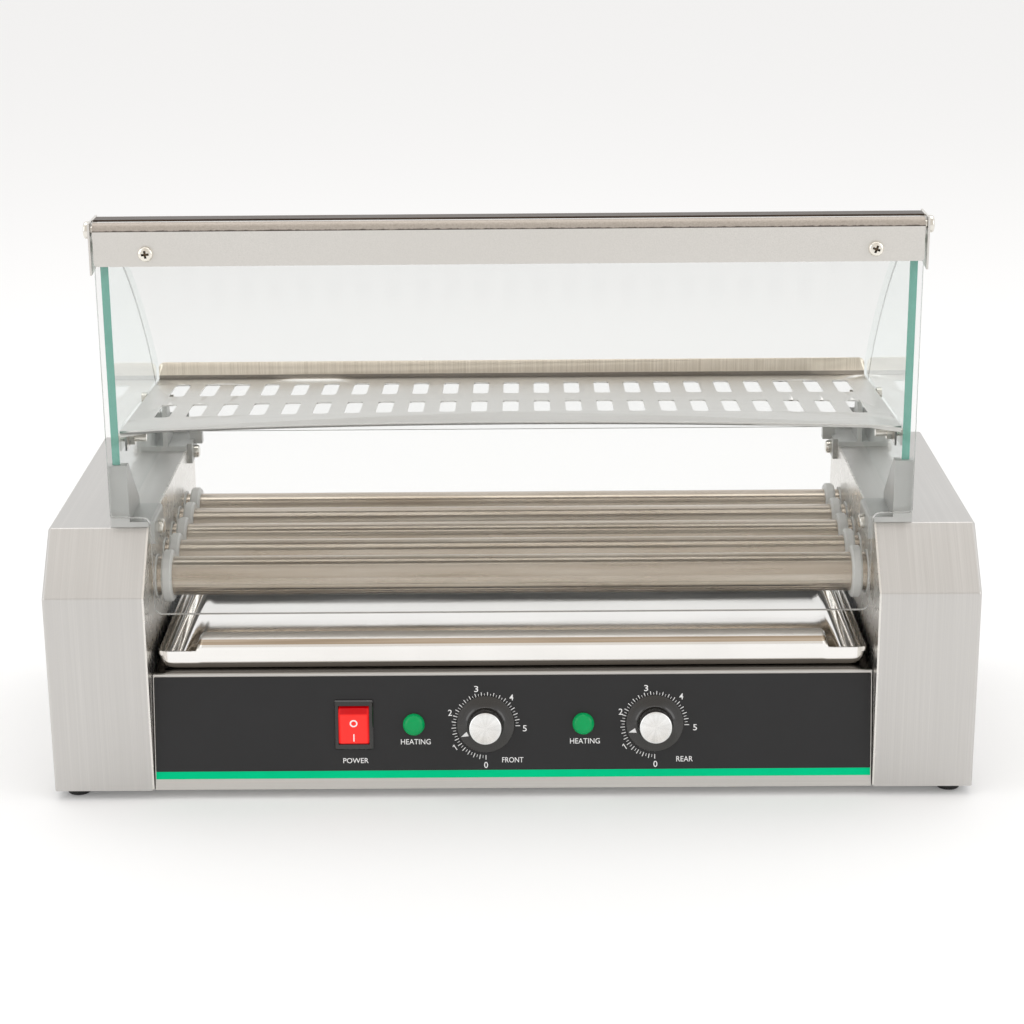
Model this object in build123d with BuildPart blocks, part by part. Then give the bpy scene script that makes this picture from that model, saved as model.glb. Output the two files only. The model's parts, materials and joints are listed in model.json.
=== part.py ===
from build123d import *
import os
from math import sin, cos, atan2, radians, degrees, sqrt, pi

os.makedirs("parts", exist_ok=True)

# ---------------------------------------------------------------- overall
# Origin: on the bench, under the middle of the cabinet. +Z up, the control side faces -Y.
WIDTH = 580.0            # over the two end housings
HALF = WIDTH / 2
DEPTH = 245.0            # front to back of the end housings
Y0 = -DEPTH / 2          # the housings' front face
FOOT_H = 6.0             # rubber feet
KNEE_Z = 135.0           # top of the upright front face
TOP_Z = 170.0            # flat top of the housings
SLOPE_Y = 34.5           # how far back the sloping face runs
COVER_T = 1.0            # end cover sheet
WALL_IN = 226.8          # inner face of the inner walls
WALL_T = 1.2
WALL_OUT = WALL_IN + WALL_T

# ---------------------------------------------------------------- rollers
ROLLERS = 5
ROLL_D = 25.0
ROLL_T = 1.2
ROLL_Y = 60.0            # first roller's axis, behind the housing front
ROLL_PITCH = 34.1
ROLL_Z = 129.3
ROLL_END = 238.0         # tube half length
COLLAR_D = 33.4
COLLAR_IN = 216.25
COLLAR_OUT = 222.75
BUSH_D = 28.2
RUN_FIT = 0.05           # radial running clearance
ROD_D = 8.0              # heating rod
TEETH = 15
TIP_R = 16.4
ROOT_R = 14.4
SPROCKET_X = (-236.0, -233.0)
MOTOR_Y, MOTOR_Z = 128.2, 72.0

# ---------------------------------------------------------------- control panel
TILT = atan2(13.6, 73.0)  # the panel leans back
PANEL_LEN = 74.2
PANEL_T = 1.5
MID_S = 41.5              # height of the controls' centre line, along the panel
KNOB_X = (-16.9, 89.6)
KNOB_REST = (63.0, 71.0)  # pointer, clockwise from the 0 mark
SKIRT_D = 36.5
CAP_D = 19.5
LAMP_X = (-62.2, 44.6)
LAMP_D = 13.8
SWITCH_X = -100.0
SWITCH_W, SWITCH_H = 24.6, 31.7
ROCKER_W, ROCKER_H = 19.0, 23.4

# ---------------------------------------------------------------- hood
GLASS_IN, GLASS_OUT = 243.0, 247.7
GLASS_FRONT = 38.0
AXIS_Y, AXIS_Z = 34.5, 358.3   # front flap's hinge line
CURL_R = 4.5
SHEET_T = 3.0
SHELF_FRONT = (39.0, 231.2)
SHELF_REAR = (204.5, 222.6)
SHELF_HALF = 242.0


def yz(*pts):
    """Points as (distance behind the front face, height)."""
    return [(y + Y0, z) for y, z in pts]


def save(p, name):
    p.part.label = name
    export_step(p.part, "parts/" + name + ".step")


def prism(pts, x0, x1):
    """One flat plate: an outline in depth and height, between two widths."""
    with BuildPart() as p:
        with BuildSketch(Plane.YZ.offset(min(x0, x1))):
            with BuildLine():
                Polyline(*yz(*pts), close=True)
            make_face()
        extrude(amount=abs(x1 - x0))
    return p


roller_axes = [(ROLL_Y + i * ROLL_PITCH, ROLL_Z) for i in range(ROLLERS)]

# the control panel's own plane: x across, y up the panel, z out of its face
panel_plane = Plane(
    origin=(0, Y0 + 1.0, FOOT_H), x_dir=(1, 0, 0), z_dir=(0, -cos(TILT), sin(TILT))
)


def on_panel(out=0.0):
    return panel_plane.offset(out)


# ================================================================ end housings
housing = [(0, FOOT_H), (0, KNEE_Z), (SLOPE_Y, TOP_Z), (DEPTH, TOP_Z), (DEPTH, FOOT_H)]
for side, name in ((-1, "left_end_cover"), (1, "right_end_cover")):
    with BuildPart() as cover:
        with BuildSketch(Plane.YZ.offset(min(side * WALL_OUT, side * HALF))):
            with BuildLine():
                Polyline(*yz(*housing), close=True)
            make_face()
        extrude(amount=HALF - WALL_OUT)
        outer = cover.faces().sort_by(Axis.X)[0 if side < 0 else -1]
        rim = outer.edges().filter_by(lambda e: e.center().Z > FOOT_H + 1)
        fillet(rim, 2.0)
        # bends at the knee and at the top of the slope
        bends = cover.edges().filter_by(Axis.X).filter_by(
            lambda e: e.center().Z > KNEE_Z - 2 and e.length > 40
        )
        fillet(bends, 1.6)
        inner = cover.faces().sort_by(Axis.X)[-1 if side < 0 else 0]
        bottom = cover.faces().sort_by(Axis.Z)[0]
        offset(amount=-COVER_T, openings=[inner, bottom])
    save(cover, name)

wall_outline = [(0.0, FOOT_H + 1.2), (0.0, KNEE_Z), (SLOPE_Y, TOP_Z), (DEPTH, TOP_Z), (DEPTH, FOOT_H + 1.2)]
BRACKET_SCREW = ((55.0, 164.5), (226.0, 164.5))
for side, name in ((-1, "left_inner_wall"), (1, "right_inner_wall")):
    x0 = min(side * WALL_IN, side * WALL_OUT)
    with BuildPart() as wall:
        with BuildSketch(Plane.YZ.offset(x0)):
            with BuildLine():
                Polyline(*yz(*wall_outline), close=True)
            make_face()
        extrude(amount=WALL_T)
        # bearing holes
        with BuildSketch(Plane.YZ.offset(x0)):
            with Locations(*yz(*roller_axes)):
                Circle(BUSH_D / 2)
            with Locations(*yz(*BRACKET_SCREW)):
                Circle(2.6)
        extrude(amount=WALL_T, mode=Mode.SUBTRACT)
    save(wall, name)

# ================================================================ base, deck, back
with BuildPart() as base_pan:
    with BuildSketch(Plane.XY.offset(FOOT_H)):
        with Locations((0, Y0 + (16.5 + DEPTH - 1.2) / 2)):
            Rectangle(2 * (HALF - COVER_T - 0.2), DEPTH - 1.2 - 16.5)
    extrude(amount=1.2)
    # the two ends run forward inside the housings
    with BuildSketch(Plane.XY.offset(FOOT_H)):
        with Locations((-(WALL_IN + HALF - 1.2) / 2, Y0 + (1.2 + 16.5) / 2), ((WALL_IN + HALF - 1.2) / 2, Y0 + (1.2 + 16.5) / 2)):
            Rectangle(HALF - 1.2 - WALL_IN, 16.5 - 1.2)
    extrude(amount=1.2)
    corners = base_pan.edges().filter_by(Axis.Z).filter_by(lambda e: abs(e.center().X) > HALF - 5)
    fillet(corners, 1.6)
save(base_pan, "base_pan")

DECK_Z = 79.0
with BuildPart() as tray_deck:
    with BuildSketch(Plane.XY.offset(DECK_Z - 1.2)):
        with Locations((0, Y0 + (16.5 + DEPTH - 1.4) / 2)):
            Rectangle(2 * (WALL_IN - 0.1), DEPTH - 1.4 - 16.5)
    extrude(amount=1.2)
    # stop ledge behind the tray
    with BuildSketch(Plane.XY.offset(DECK_Z)):
        with Locations((0, Y0 + 232.0)):
            Rectangle(430, 1.2)
    extrude(amount=9)
save(tray_deck, "tray_deck")

GLAND_X, GLAND_Z = 150.0, 40.0
with BuildPart() as rear_panel:
    with BuildSketch(Plane.XZ.offset(-(Y0 + DEPTH))):
        with Locations((0, (FOOT_H + 112.0) / 2)):
            Rectangle(2 * (WALL_IN - 0.1), 112.0 - FOOT_H)
        with Locations((GLAND_X, GLAND_Z)):
            Circle(8.0, mode=Mode.SUBTRACT)
        # vent slots low in the back
        with Locations(*[(-170 + 18.0 * i, 36.0) for i in range(9)]):
            SlotOverall(26, 4.0, rotation=90, mode=Mode.SUBTRACT)
    extrude(amount=1.2)
    with BuildSketch(Plane.XY.offset(112.0 - 1.2)):
        with Locations((0, Y0 + DEPTH - 7.0)):
            Rectangle(2 * (WALL_IN - 0.1), 14.0)
    extrude(amount=1.2)
save(rear_panel, "rear_panel")

# ================================================================ control panel
with BuildPart() as control_panel:
    with BuildSketch(on_panel(-PANEL_T)):
        with Locations((0, PANEL_LEN / 2)):
            Rectangle(2 * (WALL_IN - 0.6), PANEL_LEN)
    extrude(amount=PANEL_T)
    with BuildSketch(on_panel(-PANEL_T)):
        with Locations((SWITCH_X, MID_S)):
            Rectangle(21.2, 28.2)
        with Locations(*[(x, MID_S) for x in LAMP_X]):
            Circle(6.0)
        with Locations(*[(x, MID_S) for x in KNOB_X]):
            Circle(4.5)
    extrude(amount=PANEL_T, mode=Mode.SUBTRACT)
    # bottom lip folded back under the box, top lip folded back under the deck's edge
    with BuildSketch(Plane.XY.offset(FOOT_H)):
        with Locations((0, Y0 + 9.0)):
            Rectangle(2 * (WALL_IN - 0.6), 14.6)
    extrude(amount=1.2)
    with BuildSketch(Plane.XY.offset(DECK_Z - 1.2)):
        with Locations((0, Y0 + 15.4)):
            Rectangle(2 * (WALL_IN - 0.6), 2.0)
    extrude(amount=1.2)
save(control_panel, "control_panel")

STRIPE = (7.0, 11.8)
with BuildPart() as panel_overlay:
    with BuildSketch(on_panel()):
        with Locations((0, (STRIPE[1] + 72.6) / 2)):
            RectangleRounded(451.2, 72.6 - STRIPE[1], 0.8)
        with Locations((SWITCH_X, MID_S)):
            Rectangle(21.6, 28.6, mode=Mode.SUBTRACT)
        with Locations(*[(x, MID_S) for x in LAMP_X]):
            Circle(6.2, mode=Mode.SUBTRACT)
        with Locations(*[(x, MID_S) for x in KNOB_X]):
            Circle(4.8, mode=Mode.SUBTRACT)
    extrude(amount=0.5)
save(panel_overlay, "panel_overlay")

with BuildPart() as accent_stripe:
    with BuildSketch(on_panel()):
        with Locations((0, sum(STRIPE) / 2)):
            Rectangle(451.2, STRIPE[1] - STRIPE[0])
    extrude(amount=0.5)
save(accent_stripe, "accent_stripe")

# dial marks: eleven ticks and the figures 0 to 5 round each knob, each figure drawn as pen strokes
DIAL_SPAN = 270.0
STROKES = {
    0: [(-1.1, -1.0), (-0.55, -1.75), (0.55, -1.75), (1.1, -1.0), (1.1, 1.0), (0.55, 1.75), (-0.55, 1.75), (-1.1, 1.0), (-1.1, -1.0)],
    1: [(-0.75, 1.15), (0.15, 1.75), (0.15, -1.75)],
    2: [(-1.1, 1.0), (-0.5, 1.75), (0.5, 1.75), (1.05, 1.1), (0.85, 0.3), (-1.1, -1.75), (1.15, -1.75)],
    3: [(-1.05, 1.75), (0.95, 1.75), (-0.1, 0.45), (0.7, 0.2), (1.05, -0.6), (0.5, -1.6), (-0.4, -1.75), (-1.1, -1.3)],
    4: [(0.55, -1.75), (0.55, 1.75), (-1.2, -0.85), (1.2, -0.85)],
    5: [(0.95, 1.75), (-0.8, 1.75), (-0.95, 0.1), (0.3, 0.35), (1.0, -0.4), (0.6, -1.5), (-0.3, -1.75), (-1.1, -1.3)],
}
with BuildSketch(on_panel(0.5)) as marks:
    for kx in KNOB_X:
        for i in range(11):
            a = radians(-90.0 - i * DIAL_SPAN / 10)
            with Locations((kx + 20.7 * cos(a), MID_S - 0.8 + 20.7 * sin(a))):
                Rectangle(3.0, 0.55, rotation=degrees(a))
        for figure, stroke in STROKES.items():
            a = radians(-90.0 - figure * DIAL_SPAN / 5)
            cx, cy = kx + 24.9 * cos(a), MID_S - 0.8 + 24.9 * sin(a)
            for (x0, y0), (x1, y1) in zip(stroke, stroke[1:]):
                with Locations((cx + (x0 + x1) / 2, cy + (y0 + y1) / 2)):
                    SlotCenterToCenter(
                        sqrt((x1 - x0) ** 2 + (y1 - y0) ** 2),
                        0.52,
                        rotation=degrees(atan2(y1 - y0, x1 - x0)),
                    )
with BuildPart() as dial_marks:
    for face in marks.sketch.faces():
        extrude(face, amount=0.12)
save(dial_marks, "dial_marks")

# ---------------------------------------------------------------- rocker switch
with BuildPart() as switch_body:
    with BuildSketch(on_panel(-20.0)):
        with Locations((SWITCH_X, MID_S)):
            Rectangle(21.0, 28.0)
    extrude(amount=20.5)
    with BuildSketch(on_panel(0.5)):
        with Locations((SWITCH_X, MID_S)):
            RectangleRounded(SWITCH_W, SWITCH_H, 1.2)
    extrude(amount=1.9)
    bezel_top = switch_body.faces().filter_by(
        lambda f: abs(f.center().X - SWITCH_X) < 1 and f.area > 100
    ).sort_by(lambda f: f.center().dot(panel_plane.z_dir))[-1]
    chamfer(bezel_top.outer_wire().edges(), 0.7)
    with BuildSketch(on_panel(-13.5)):
        with Locations((SWITCH_X, MID_S)):
            Rectangle(ROCKER_W + 0.5, 24.8)
    extrude(amount=20.0, mode=Mode.SUBTRACT)
    # two blade terminals at the back
    with BuildSketch(on_panel(-28.0)):
        with Locations((SWITCH_X, MID_S - 7), (SWITCH_X, MID_S + 7)):
            Rectangle(6.3, 0.8)
    extrude(amount=8.0)
save(switch_body, "switch_body")

# rocker: two facets meeting in a shallow valley, resting with one half pressed in
ROCK = radians(7.0)
rocker_plane = Plane(
    origin=panel_plane.from_local_coords((SWITCH_X - ROCKER_W / 2, MID_S, -1.0)),
    x_dir=panel_plane.y_dir,
    z_dir=(1, 0, 0),
)
with BuildPart() as power_rocker:
    with BuildSketch(rocker_plane):
        with BuildLine():
            pts = []
            for s, n in ((-11.7, -1.5), (-11.7, 5.6), (0.0, 3.6), (11.7, 5.6), (11.7, -1.5), (4.0, -9.5), (-4.0, -9.5)):
                pts.append((s * cos(ROCK) - n * sin(ROCK), s * sin(ROCK) + n * cos(ROCK)))
            Polyline(*pts, close=True)
        make_face()
    extrude(amount=ROCKER_W)
    fillet(power_rocker.faces().sort_by(Axis.X)[0].edges() + power_rocker.faces().sort_by(Axis.X)[-1].edges(), 0.5)
save(power_rocker, "power_rocker")

# ---------------------------------------------------------------- indicator lamps
with BuildPart() as indicator_lamps:
    with BuildSketch(on_panel(-17.0)):
        with Locations(*[(x, MID_S) for x in LAMP_X]):
            Circle(5.9)
    extrude(amount=17.5)
    with BuildSketch(on_panel(0.5)):
        with Locations(*[(x, MID_S) for x in LAMP_X]):
            Circle(LAMP_D / 2)
    extrude(amount=5.2)
    tops = indicator_lamps.faces().filter_by(panel_plane).sort_by(
        lambda f: f.center().dot(panel_plane.z_dir))[-2:]
    fillet(tops.edges(), 3.9)
    # retaining nut behind the panel
    with BuildSketch(on_panel(-PANEL_T - 3.6)):
        with Locations(*[(x, MID_S) for x in LAMP_X]):
            RegularPolygon(9.0, 6)
    extrude(amount=3.4)
save(indicator_lamps, "indicator_lamps")

# ---------------------------------------------------------------- thermostats and knobs
with BuildPart() as thermostats:
    with BuildSketch(on_panel(-PANEL_T - 24.0)):
        with Locations(*[(x, MID_S) for x in KNOB_X]):
            RectangleRounded(30.0, 36.0, 3.0)
    extrude(amount=22.0)
    with BuildSketch(on_panel(-PANEL_T - 2.2)):
        with Locations(*[(x, MID_S) for x in KNOB_X]):
            RectangleRounded(40.0, 22.0, 2.0)
    extrude(amount=2.0)
    # spindle socket
    with BuildSketch(on_panel(-PANEL_T - 16.0)):
        with Locations(*[(x, MID_S) for x in KNOB_X]):
            Circle(3.3)
    extrude(amount=20.0, mode=Mode.SUBTRACT)
    # capillary stub and terminals
    with BuildSketch(on_panel(-PANEL_T - 31.0)):
        for x in KNOB_X:
            with Locations((x - 8, MID_S + 10), (x + 8, MID_S + 10)):
                Rectangle(6.3, 0.8)
            with Locations((x, MID_S - 10)):
                Circle(1.6)
    extrude(amount=8.0)
save(thermostats, "thermostats")

for kx, rest, tag in ((KNOB_X[0], KNOB_REST[0], "front"), (KNOB_X[1], KNOB_REST[1], "rear")):
    with BuildPart() as skirt:
        with BuildSketch(on_panel(1.0)):
            with Locations((kx, MID_S)):
                Circle(SKIRT_D / 2)
        extrude(amount=3.6)
        edge = skirt.faces().filter_by(panel_plane).sort_by(
            lambda f: f.center().dot(panel_plane.z_dir))[-1].edges()
        chamfer(edge, 1.5)
        # hub under the cap and spindle down into the control
        with BuildSketch(on_panel(4.0)):
            with Locations((kx, MID_S)):
                Circle(7.0)
        extrude(amount=8.0)
        with BuildSketch(on_panel(-16.0)):
            with Locations((kx, MID_S)):
                Circle(3.0)
        extrude(amount=18.0)
        # raised pointer on the skirt
        a = radians(-90.0 - rest)
        with BuildSketch(on_panel(4.0)):
            with Locations(Location((kx + 13.4 * cos(a), MID_S + 13.4 * sin(a)), degrees(a))):
                with Locations((0, 0)):
                    RegularPolygon(2.5, 3)
        extrude(amount=1.1)
    save(skirt, "knob_" + tag + "_skirt")
    with BuildPart() as cap:
        with BuildSketch(on_panel(4.6)):
            with Locations((kx, MID_S)):
                Circle(CAP_D / 2 + 0.5)
        with BuildSketch(on_panel(16.0)):
            with Locations((kx, MID_S)):
                Circle(CAP_D / 2 - 0.3)
        loft()
        edge = cap.faces().filter_by(panel_plane).sort_by(
            lambda f: f.center().dot(panel_plane.z_dir))[-1].edges()
        fillet(edge, 1.2)
        with BuildSketch(on_panel(4.6)):
            with Locations((kx, MID_S)):
                Circle(7.0)
        extrude(amount=7.4, mode=Mode.SUBTRACT)
    save(cap, "knob_" + tag + "_cap")

# ================================================================ rollers
for i, (ry, rz) in enumerate(roller_axes, 1):
    with BuildPart() as tube:
        with BuildSketch(Plane.YZ.offset(-ROLL_END)):
            with Locations((ry + Y0, rz)):
                Circle(ROLL_D / 2)
                Circle(ROLL_D / 2 - ROLL_T, mode=Mode.SUBTRACT)
        extrude(amount=2 * ROLL_END)
    save(tube, "roller_tube_%d" % i)
    with BuildPart() as collars:
        for x0 in (-COLLAR_OUT, COLLAR_IN):
            with BuildSketch(Plane.YZ.offset(x0)):
                with Locations((ry + Y0, rz)):
                    Circle(COLLAR_D / 2)
            extrude(amount=COLLAR_OUT - COLLAR_IN)
        chamfer(collars.edges().filter_by(GeomType.CIRCLE), 1.2)
        with BuildSketch(Plane.YZ.offset(-COLLAR_OUT)):
            with Locations((ry + Y0, rz)):
                Circle(ROLL_D / 2)
        extrude(amount=2 * COLLAR_OUT, mode=Mode.SUBTRACT)
    save(collars, "roller_collars_%d" % i)
    with BuildPart() as sprocket:
        with BuildSketch(Plane.YZ.offset(SPROCKET_X[0])):
            with Locations((ry + Y0, rz)):
                Circle(ROOT_R)
                with PolarLocations(0, TEETH):
                    with Locations((ROOT_R + 0.75, 0)):
                        Trapezoid(3.4, 2.4, 68, rotation=-90)
                Circle(ROLL_D / 2, mode=Mode.SUBTRACT)
        extrude(amount=SPROCKET_X[1] - SPROCKET_X[0])
    save(sprocket, "sprocket_%d" % i)

with BuildPart() as roller_bushes:
    for side in (-1, 1):
        a, b = sorted((side * (WALL_IN - 0.8), side * 231.5))
        with BuildSketch(Plane.YZ.offset(a)):
            with Locations(*yz(*roller_axes)):
                Circle(BUSH_D / 2)
        extrude(amount=b - a)
        a, b = sorted((side * WALL_OUT, side * 230.0))
        with BuildSketch(Plane.YZ.offset(a)):
            with Locations(*yz(*roller_axes)):
                Circle(16.4)
        extrude(amount=b - a)
    with BuildSketch(Plane.YZ.offset(-232.0)):
        with Locations(*yz(*roller_axes)):
            Circle(ROLL_D / 2 + RUN_FIT)
    extrude(amount=464.0, mode=Mode.SUBTRACT)
save(roller_bushes, "roller_bushes")

with BuildPart() as heating_rods:
    with BuildSketch(Plane.YZ.offset(-250.0)):
        with Locations(*yz(*roller_axes)):
            Circle(ROD_D / 2)
    extrude(amount=500.0)
    with BuildSketch(Plane.YZ.offset(-258.0)):
        with Locations(*yz(*roller_axes)):
            Circle(1.6)
    extrude(amount=516.0)
save(heating_rods, "heating_rods")

with BuildPart() as heater_brackets:
    for side in (-1, 1):
        a, b = sorted((side * 240.0, side * 241.2))
        with BuildSketch(Plane.YZ.offset(a)):
            with BuildLine():
                Polyline(*yz((36, 7.2), (36, 150), (218, 150), (218, 7.2), (208, 7.2), (208, 108), (46, 108), (46, 7.2)), close=True)
            make_face()
            with Locations(*yz(*roller_axes)):
                Circle(ROD_D / 2, mode=Mode.SUBTRACT)
        extrude(amount=b - a)
save(heater_brackets, "heater_brackets")

# ---------------------------------------------------------------- drive
drive_axis = (MOTOR_Y, MOTOR_Z)
with BuildPart() as drive_sprocket:
    with BuildSketch(Plane.YZ.offset(SPROCKET_X[0])):
        with Locations((drive_axis[0] + Y0, drive_axis[1])):
            Circle(ROOT_R)
            with PolarLocations(0, TEETH):
                with Locations((ROOT_R + 0.75, 0)):
                    Trapezoid(3.4, 2.4, 68, rotation=-90)
    extrude(amount=SPROCKET_X[1] - SPROCKET_X[0])
    with BuildSketch(Plane.YZ.offset(-250.0)):
        with Locations((drive_axis[0] + Y0, drive_axis[1])):
            Circle(3.5)
    extrude(amount=19.0)
    with BuildSketch(Plane.YZ.offset(-240.0)):
        with Locations((drive_axis[0] + Y0, drive_axis[1])):
            Circle(7.0)
    extrude(amount=4.5)
save(drive_sprocket, "drive_sprocket")


def around(r):
    """Loop at distance r round the end sprockets and the drive sprocket."""
    (ya, za), (yb, zb) = roller_axes[0], roller_axes[-1]
    yd, zd = drive_axis
    d1 = atan2(zd - za, yd - ya) - pi / 2      # outward normal of the front lower run
    d2 = atan2(zb - zd, yb - yd) - pi / 2      # outward normal of the rear lower run
    def at(c, ang):
        return (c[0] + Y0 + r * cos(ang), c[1] + r * sin(ang))
    a, b, d = (ya, za), (yb, zb), (yd, zd)
    Line(at(a, pi / 2), at(b, pi / 2))
    ThreePointArc(at(b, pi / 2), at(b, (pi / 2 + d2) / 2), at(b, d2))
    Line(at(b, d2), at(d, d2))
    ThreePointArc(at(d, d2), at(d, (d1 + d2) / 2), at(d, d1))
    Line(at(d, d1), at(a, d1))
    mid = (pi / 2 + d1 + 2 * pi) / 2
    ThreePointArc(at(a, d1), at(a, mid), at(a, pi / 2))


with BuildPart() as drive_chain:
    with BuildSketch(Plane.YZ.offset(-237.0)):
        with BuildLine():
            around(TIP_R + 4.2)
        make_face()
        with BuildLine(mode=Mode.PRIVATE) as inner_loop:
            around(TIP_R + 0.5)
        make_face(inner_loop.edges(), mode=Mode.SUBTRACT)
    extrude(amount=5.0)
save(drive_chain, "drive_chain")

with BuildPart() as gear_motor:
    with BuildSketch(Plane.YZ.offset(-286.0)):
        with Locations((drive_axis[0] + Y0, drive_axis[1])):
            Circle(24.0)
    extrude(amount=24.0)
    with BuildSketch(Plane.YZ.offset(-266.0)):
        with Locations((drive_axis[0] + Y0, drive_axis[1])):
            Circle(30.0)
    extrude(amount=22.0)
    fillet(gear_motor.edges().filter_by(GeomType.CIRCLE).sort_by(Axis.X)[0], 2.0)
    # ears for the two fixing screws
    with BuildSketch(Plane.YZ.offset(-246.0)):
        with Locations((drive_axis[0] + Y0, drive_axis[1])):
            SlotOverall(78, 12)
            with Locations((-33.5, 0), (33.5, 0)):
                Circle(2.2, mode=Mode.SUBTRACT)
    extrude(amount=2.0)
    with BuildSketch(Plane.YZ.offset(-252.0)):
        with Locations((drive_axis[0] + Y0, drive_axis[1])):
            Circle(3.8)
    extrude(amount=9.0, mode=Mode.SUBTRACT)
save(gear_motor, "gear_motor")

with BuildPart() as motor_bracket:
    with BuildSketch(Plane.YZ.offset(-244.0)):
        with BuildLine():
            Polyline(*yz((86, 7.2), (86, 96), (98, 104), (158, 104), (170, 96), (170, 7.2)), close=True)
        make_face()
        with Locations((drive_axis[0] + Y0, drive_axis[1])):
            Circle(9.0, mode=Mode.SUBTRACT)
            with Locations((-33.5, 0), (33.5, 0)):
                Circle(2.2, mode=Mode.SUBTRACT)
    extrude(amount=1.5)
    with BuildSketch(Plane.XY.offset(7.2)):
        with Locations((-251.0, Y0 + 128.0)):
            Rectangle(14.0, 84.0)
    extrude(amount=1.5)
save(motor_bracket, "motor_bracket")

with BuildPart() as terminal_block:
    with BuildSketch(Plane.XY.offset(7.2)):
        with Locations((262.0, Y0 + 90.0)):
            Rectangle(22.0, 56.0)
    extrude(amount=6.0)
    with BuildSketch(Plane.XY.offset(13.2)):
        with Locations(*[(262.0, Y0 + 68.0 + 11.0 * i) for i in range(5)]):
            Rectangle(18.0, 8.6)
    extrude(amount=9.0)
    with BuildSketch(Plane.XY.offset(22.2 - 5.0)):
        with Locations(*[(262.0 + s * 5.0, Y0 + 68.0 + 11.0 * i) for i in range(5) for s in (-1, 1)]):
            Circle(2.0)
    extrude(amount=6.0, mode=Mode.SUBTRACT)
save(terminal_block, "terminal_block")

with BuildPart() as cable_gland:
    with BuildSketch(Plane.XZ.offset(-(Y0 + DEPTH))):
        with Locations((GLAND_X, GLAND_Z)):
            RegularPolygon(12.0, 6)
    extrude(amount=-4.2)
    with BuildSketch(Plane.XZ.offset(-(Y0 + DEPTH + 4.2))):
        with Locations((GLAND_X, GLAND_Z)):
            Circle(9.4)
    extrude(amount=-4.56)
    fillet(cable_gland.edges().filter_by(GeomType.CIRCLE).sort_by(Axis.Y)[-1], 1.6)
    with BuildSketch(Plane.XZ.offset(-(Y0 + DEPTH - 10.0))):
        with Locations((GLAND_X, GLAND_Z)):
            Circle(7.9)
    extrude(amount=-10.0)
    with BuildSketch(Plane.XZ.offset(-(Y0 + DEPTH - 10.0))):
        with Locations((GLAND_X, GLAND_Z)):
            Circle(4.0)
    extrude(amount=-30.0, mode=Mode.SUBTRACT)
save(cable_gland, "cable_gland")

FEET = [(sx * 277.0, Y0 + y) for sx in (-1, 1) for y in (14.0, 231.0)]
with BuildPart() as rubber_feet:
    with BuildSketch(Plane.XY):
        with Locations(*FEET):
            Circle(7.4)
    extrude(amount=FOOT_H)
    fillet(rubber_feet.edges().filter_by(GeomType.CIRCLE).group_by(Axis.Z)[0], 0.9)
save(rubber_feet, "rubber_feet")

with BuildPart() as panel_studs:
    with BuildSketch(Plane.XY.offset(3.4)):
        with Locations(*[(x, Y0 + 8.0) for x in (-140.0, 0.0, 140.0)], *[(x, Y0 + 8.0) for x in (-229.6, 229.6)]):
            Circle(2.6)
    extrude(amount=FOOT_H - 3.4)
    fillet(panel_studs.edges().filter_by(GeomType.CIRCLE).group_by(Axis.Z)[0], 0.8)
save(panel_studs, "panel_studs")


# ================================================================ hood
# side glass: upright front edge, long curve down the back
GLASS_LOW = 173.6
for side, name in ((-1, "side_glass_left"), (1, "side_glass_right")):
    with BuildPart() as glass:
        with BuildSketch(Plane.YZ.offset(min(side * GLASS_IN, side * GLASS_OUT))):
            with BuildLine():
                p = yz((GLASS_FRONT, GLASS_LOW), (GLASS_FRONT, 350.0), (41.0, 353.0), (41.0, 357.0), (50.0, 357.0))
                Polyline(*p)
                arc1 = ThreePointArc(*yz((50.0, 357.0), (122.6, 314.0), (193.0, 251.0)))
                TangentArc(yz((193.0, 251.0))[0], yz((240.0, GLASS_LOW))[0], tangent=arc1 % 1)
                Line(yz((240.0, GLASS_LOW))[0], p[0])
            make_face()
        extrude(amount=GLASS_OUT - GLASS_IN)
        # holes for the hood fixing and the two shelf bolts
        with BuildSketch(Plane.YZ.offset(min(side * GLASS_IN, side * GLASS_OUT))):
            with Locations(*yz((48.5, 346.0), (62.0, 220.8), (182.0, 214.6))):
                Circle(2.6)
        extrude(amount=GLASS_OUT - GLASS_IN, mode=Mode.SUBTRACT)
    save(glass, name)

# clear curved back sheet lying on the rear edges of the side glass
def centre_of(a, b, c):
    """Centre and radius of the circle through three points."""
    (ax, ay), (bx, by), (cx, cy) = a, b, c
    d = 2 * (ax * (by - cy) + bx * (cy - ay) + cx * (ay - by))
    ux = ((ax**2 + ay**2) * (by - cy) + (bx**2 + by**2) * (cy - ay) + (cx**2 + cy**2) * (ay - by)) / d
    uy = ((ax**2 + ay**2) * (cx - bx) + (bx**2 + by**2) * (ax - cx) + (cx**2 + cy**2) * (bx - ax)) / d
    return (ux, uy), sqrt((ax - ux) ** 2 + (ay - uy) ** 2)


def tangent_centre(c1, p, q):
    """Centre and radius of the circle that leaves p in line with the circle about c1 and ends at q."""
    nx, ny = c1[0] - p[0], c1[1] - p[1]
    n = sqrt(nx * nx + ny * ny)
    nx, ny = nx / n, ny / n
    dx, dy = q[0] - p[0], q[1] - p[1]
    r = (dx * dx + dy * dy) / (2 * (dx * nx + dy * ny))
    return (p[0] + nx * r, p[1] + ny * r), r


P0, P1, P2, P3 = (50.0, 357.0), (122.6, 314.0), (193.0, 251.0), (240.0, GLASS_LOW)
C1, R1 = centre_of(P0, P1, P2)
C2, R2 = tangent_centre(C1, P2, P3)


def out(c, r, p):
    a = atan2(p[1] - c[1], p[0] - c[0])
    return yz((c[0] + r * cos(a), c[1] + r * sin(a)))[0]


def half(p, q):
    return ((p[0] + q[0]) / 2, (p[1] + q[1]) / 2)


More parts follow.
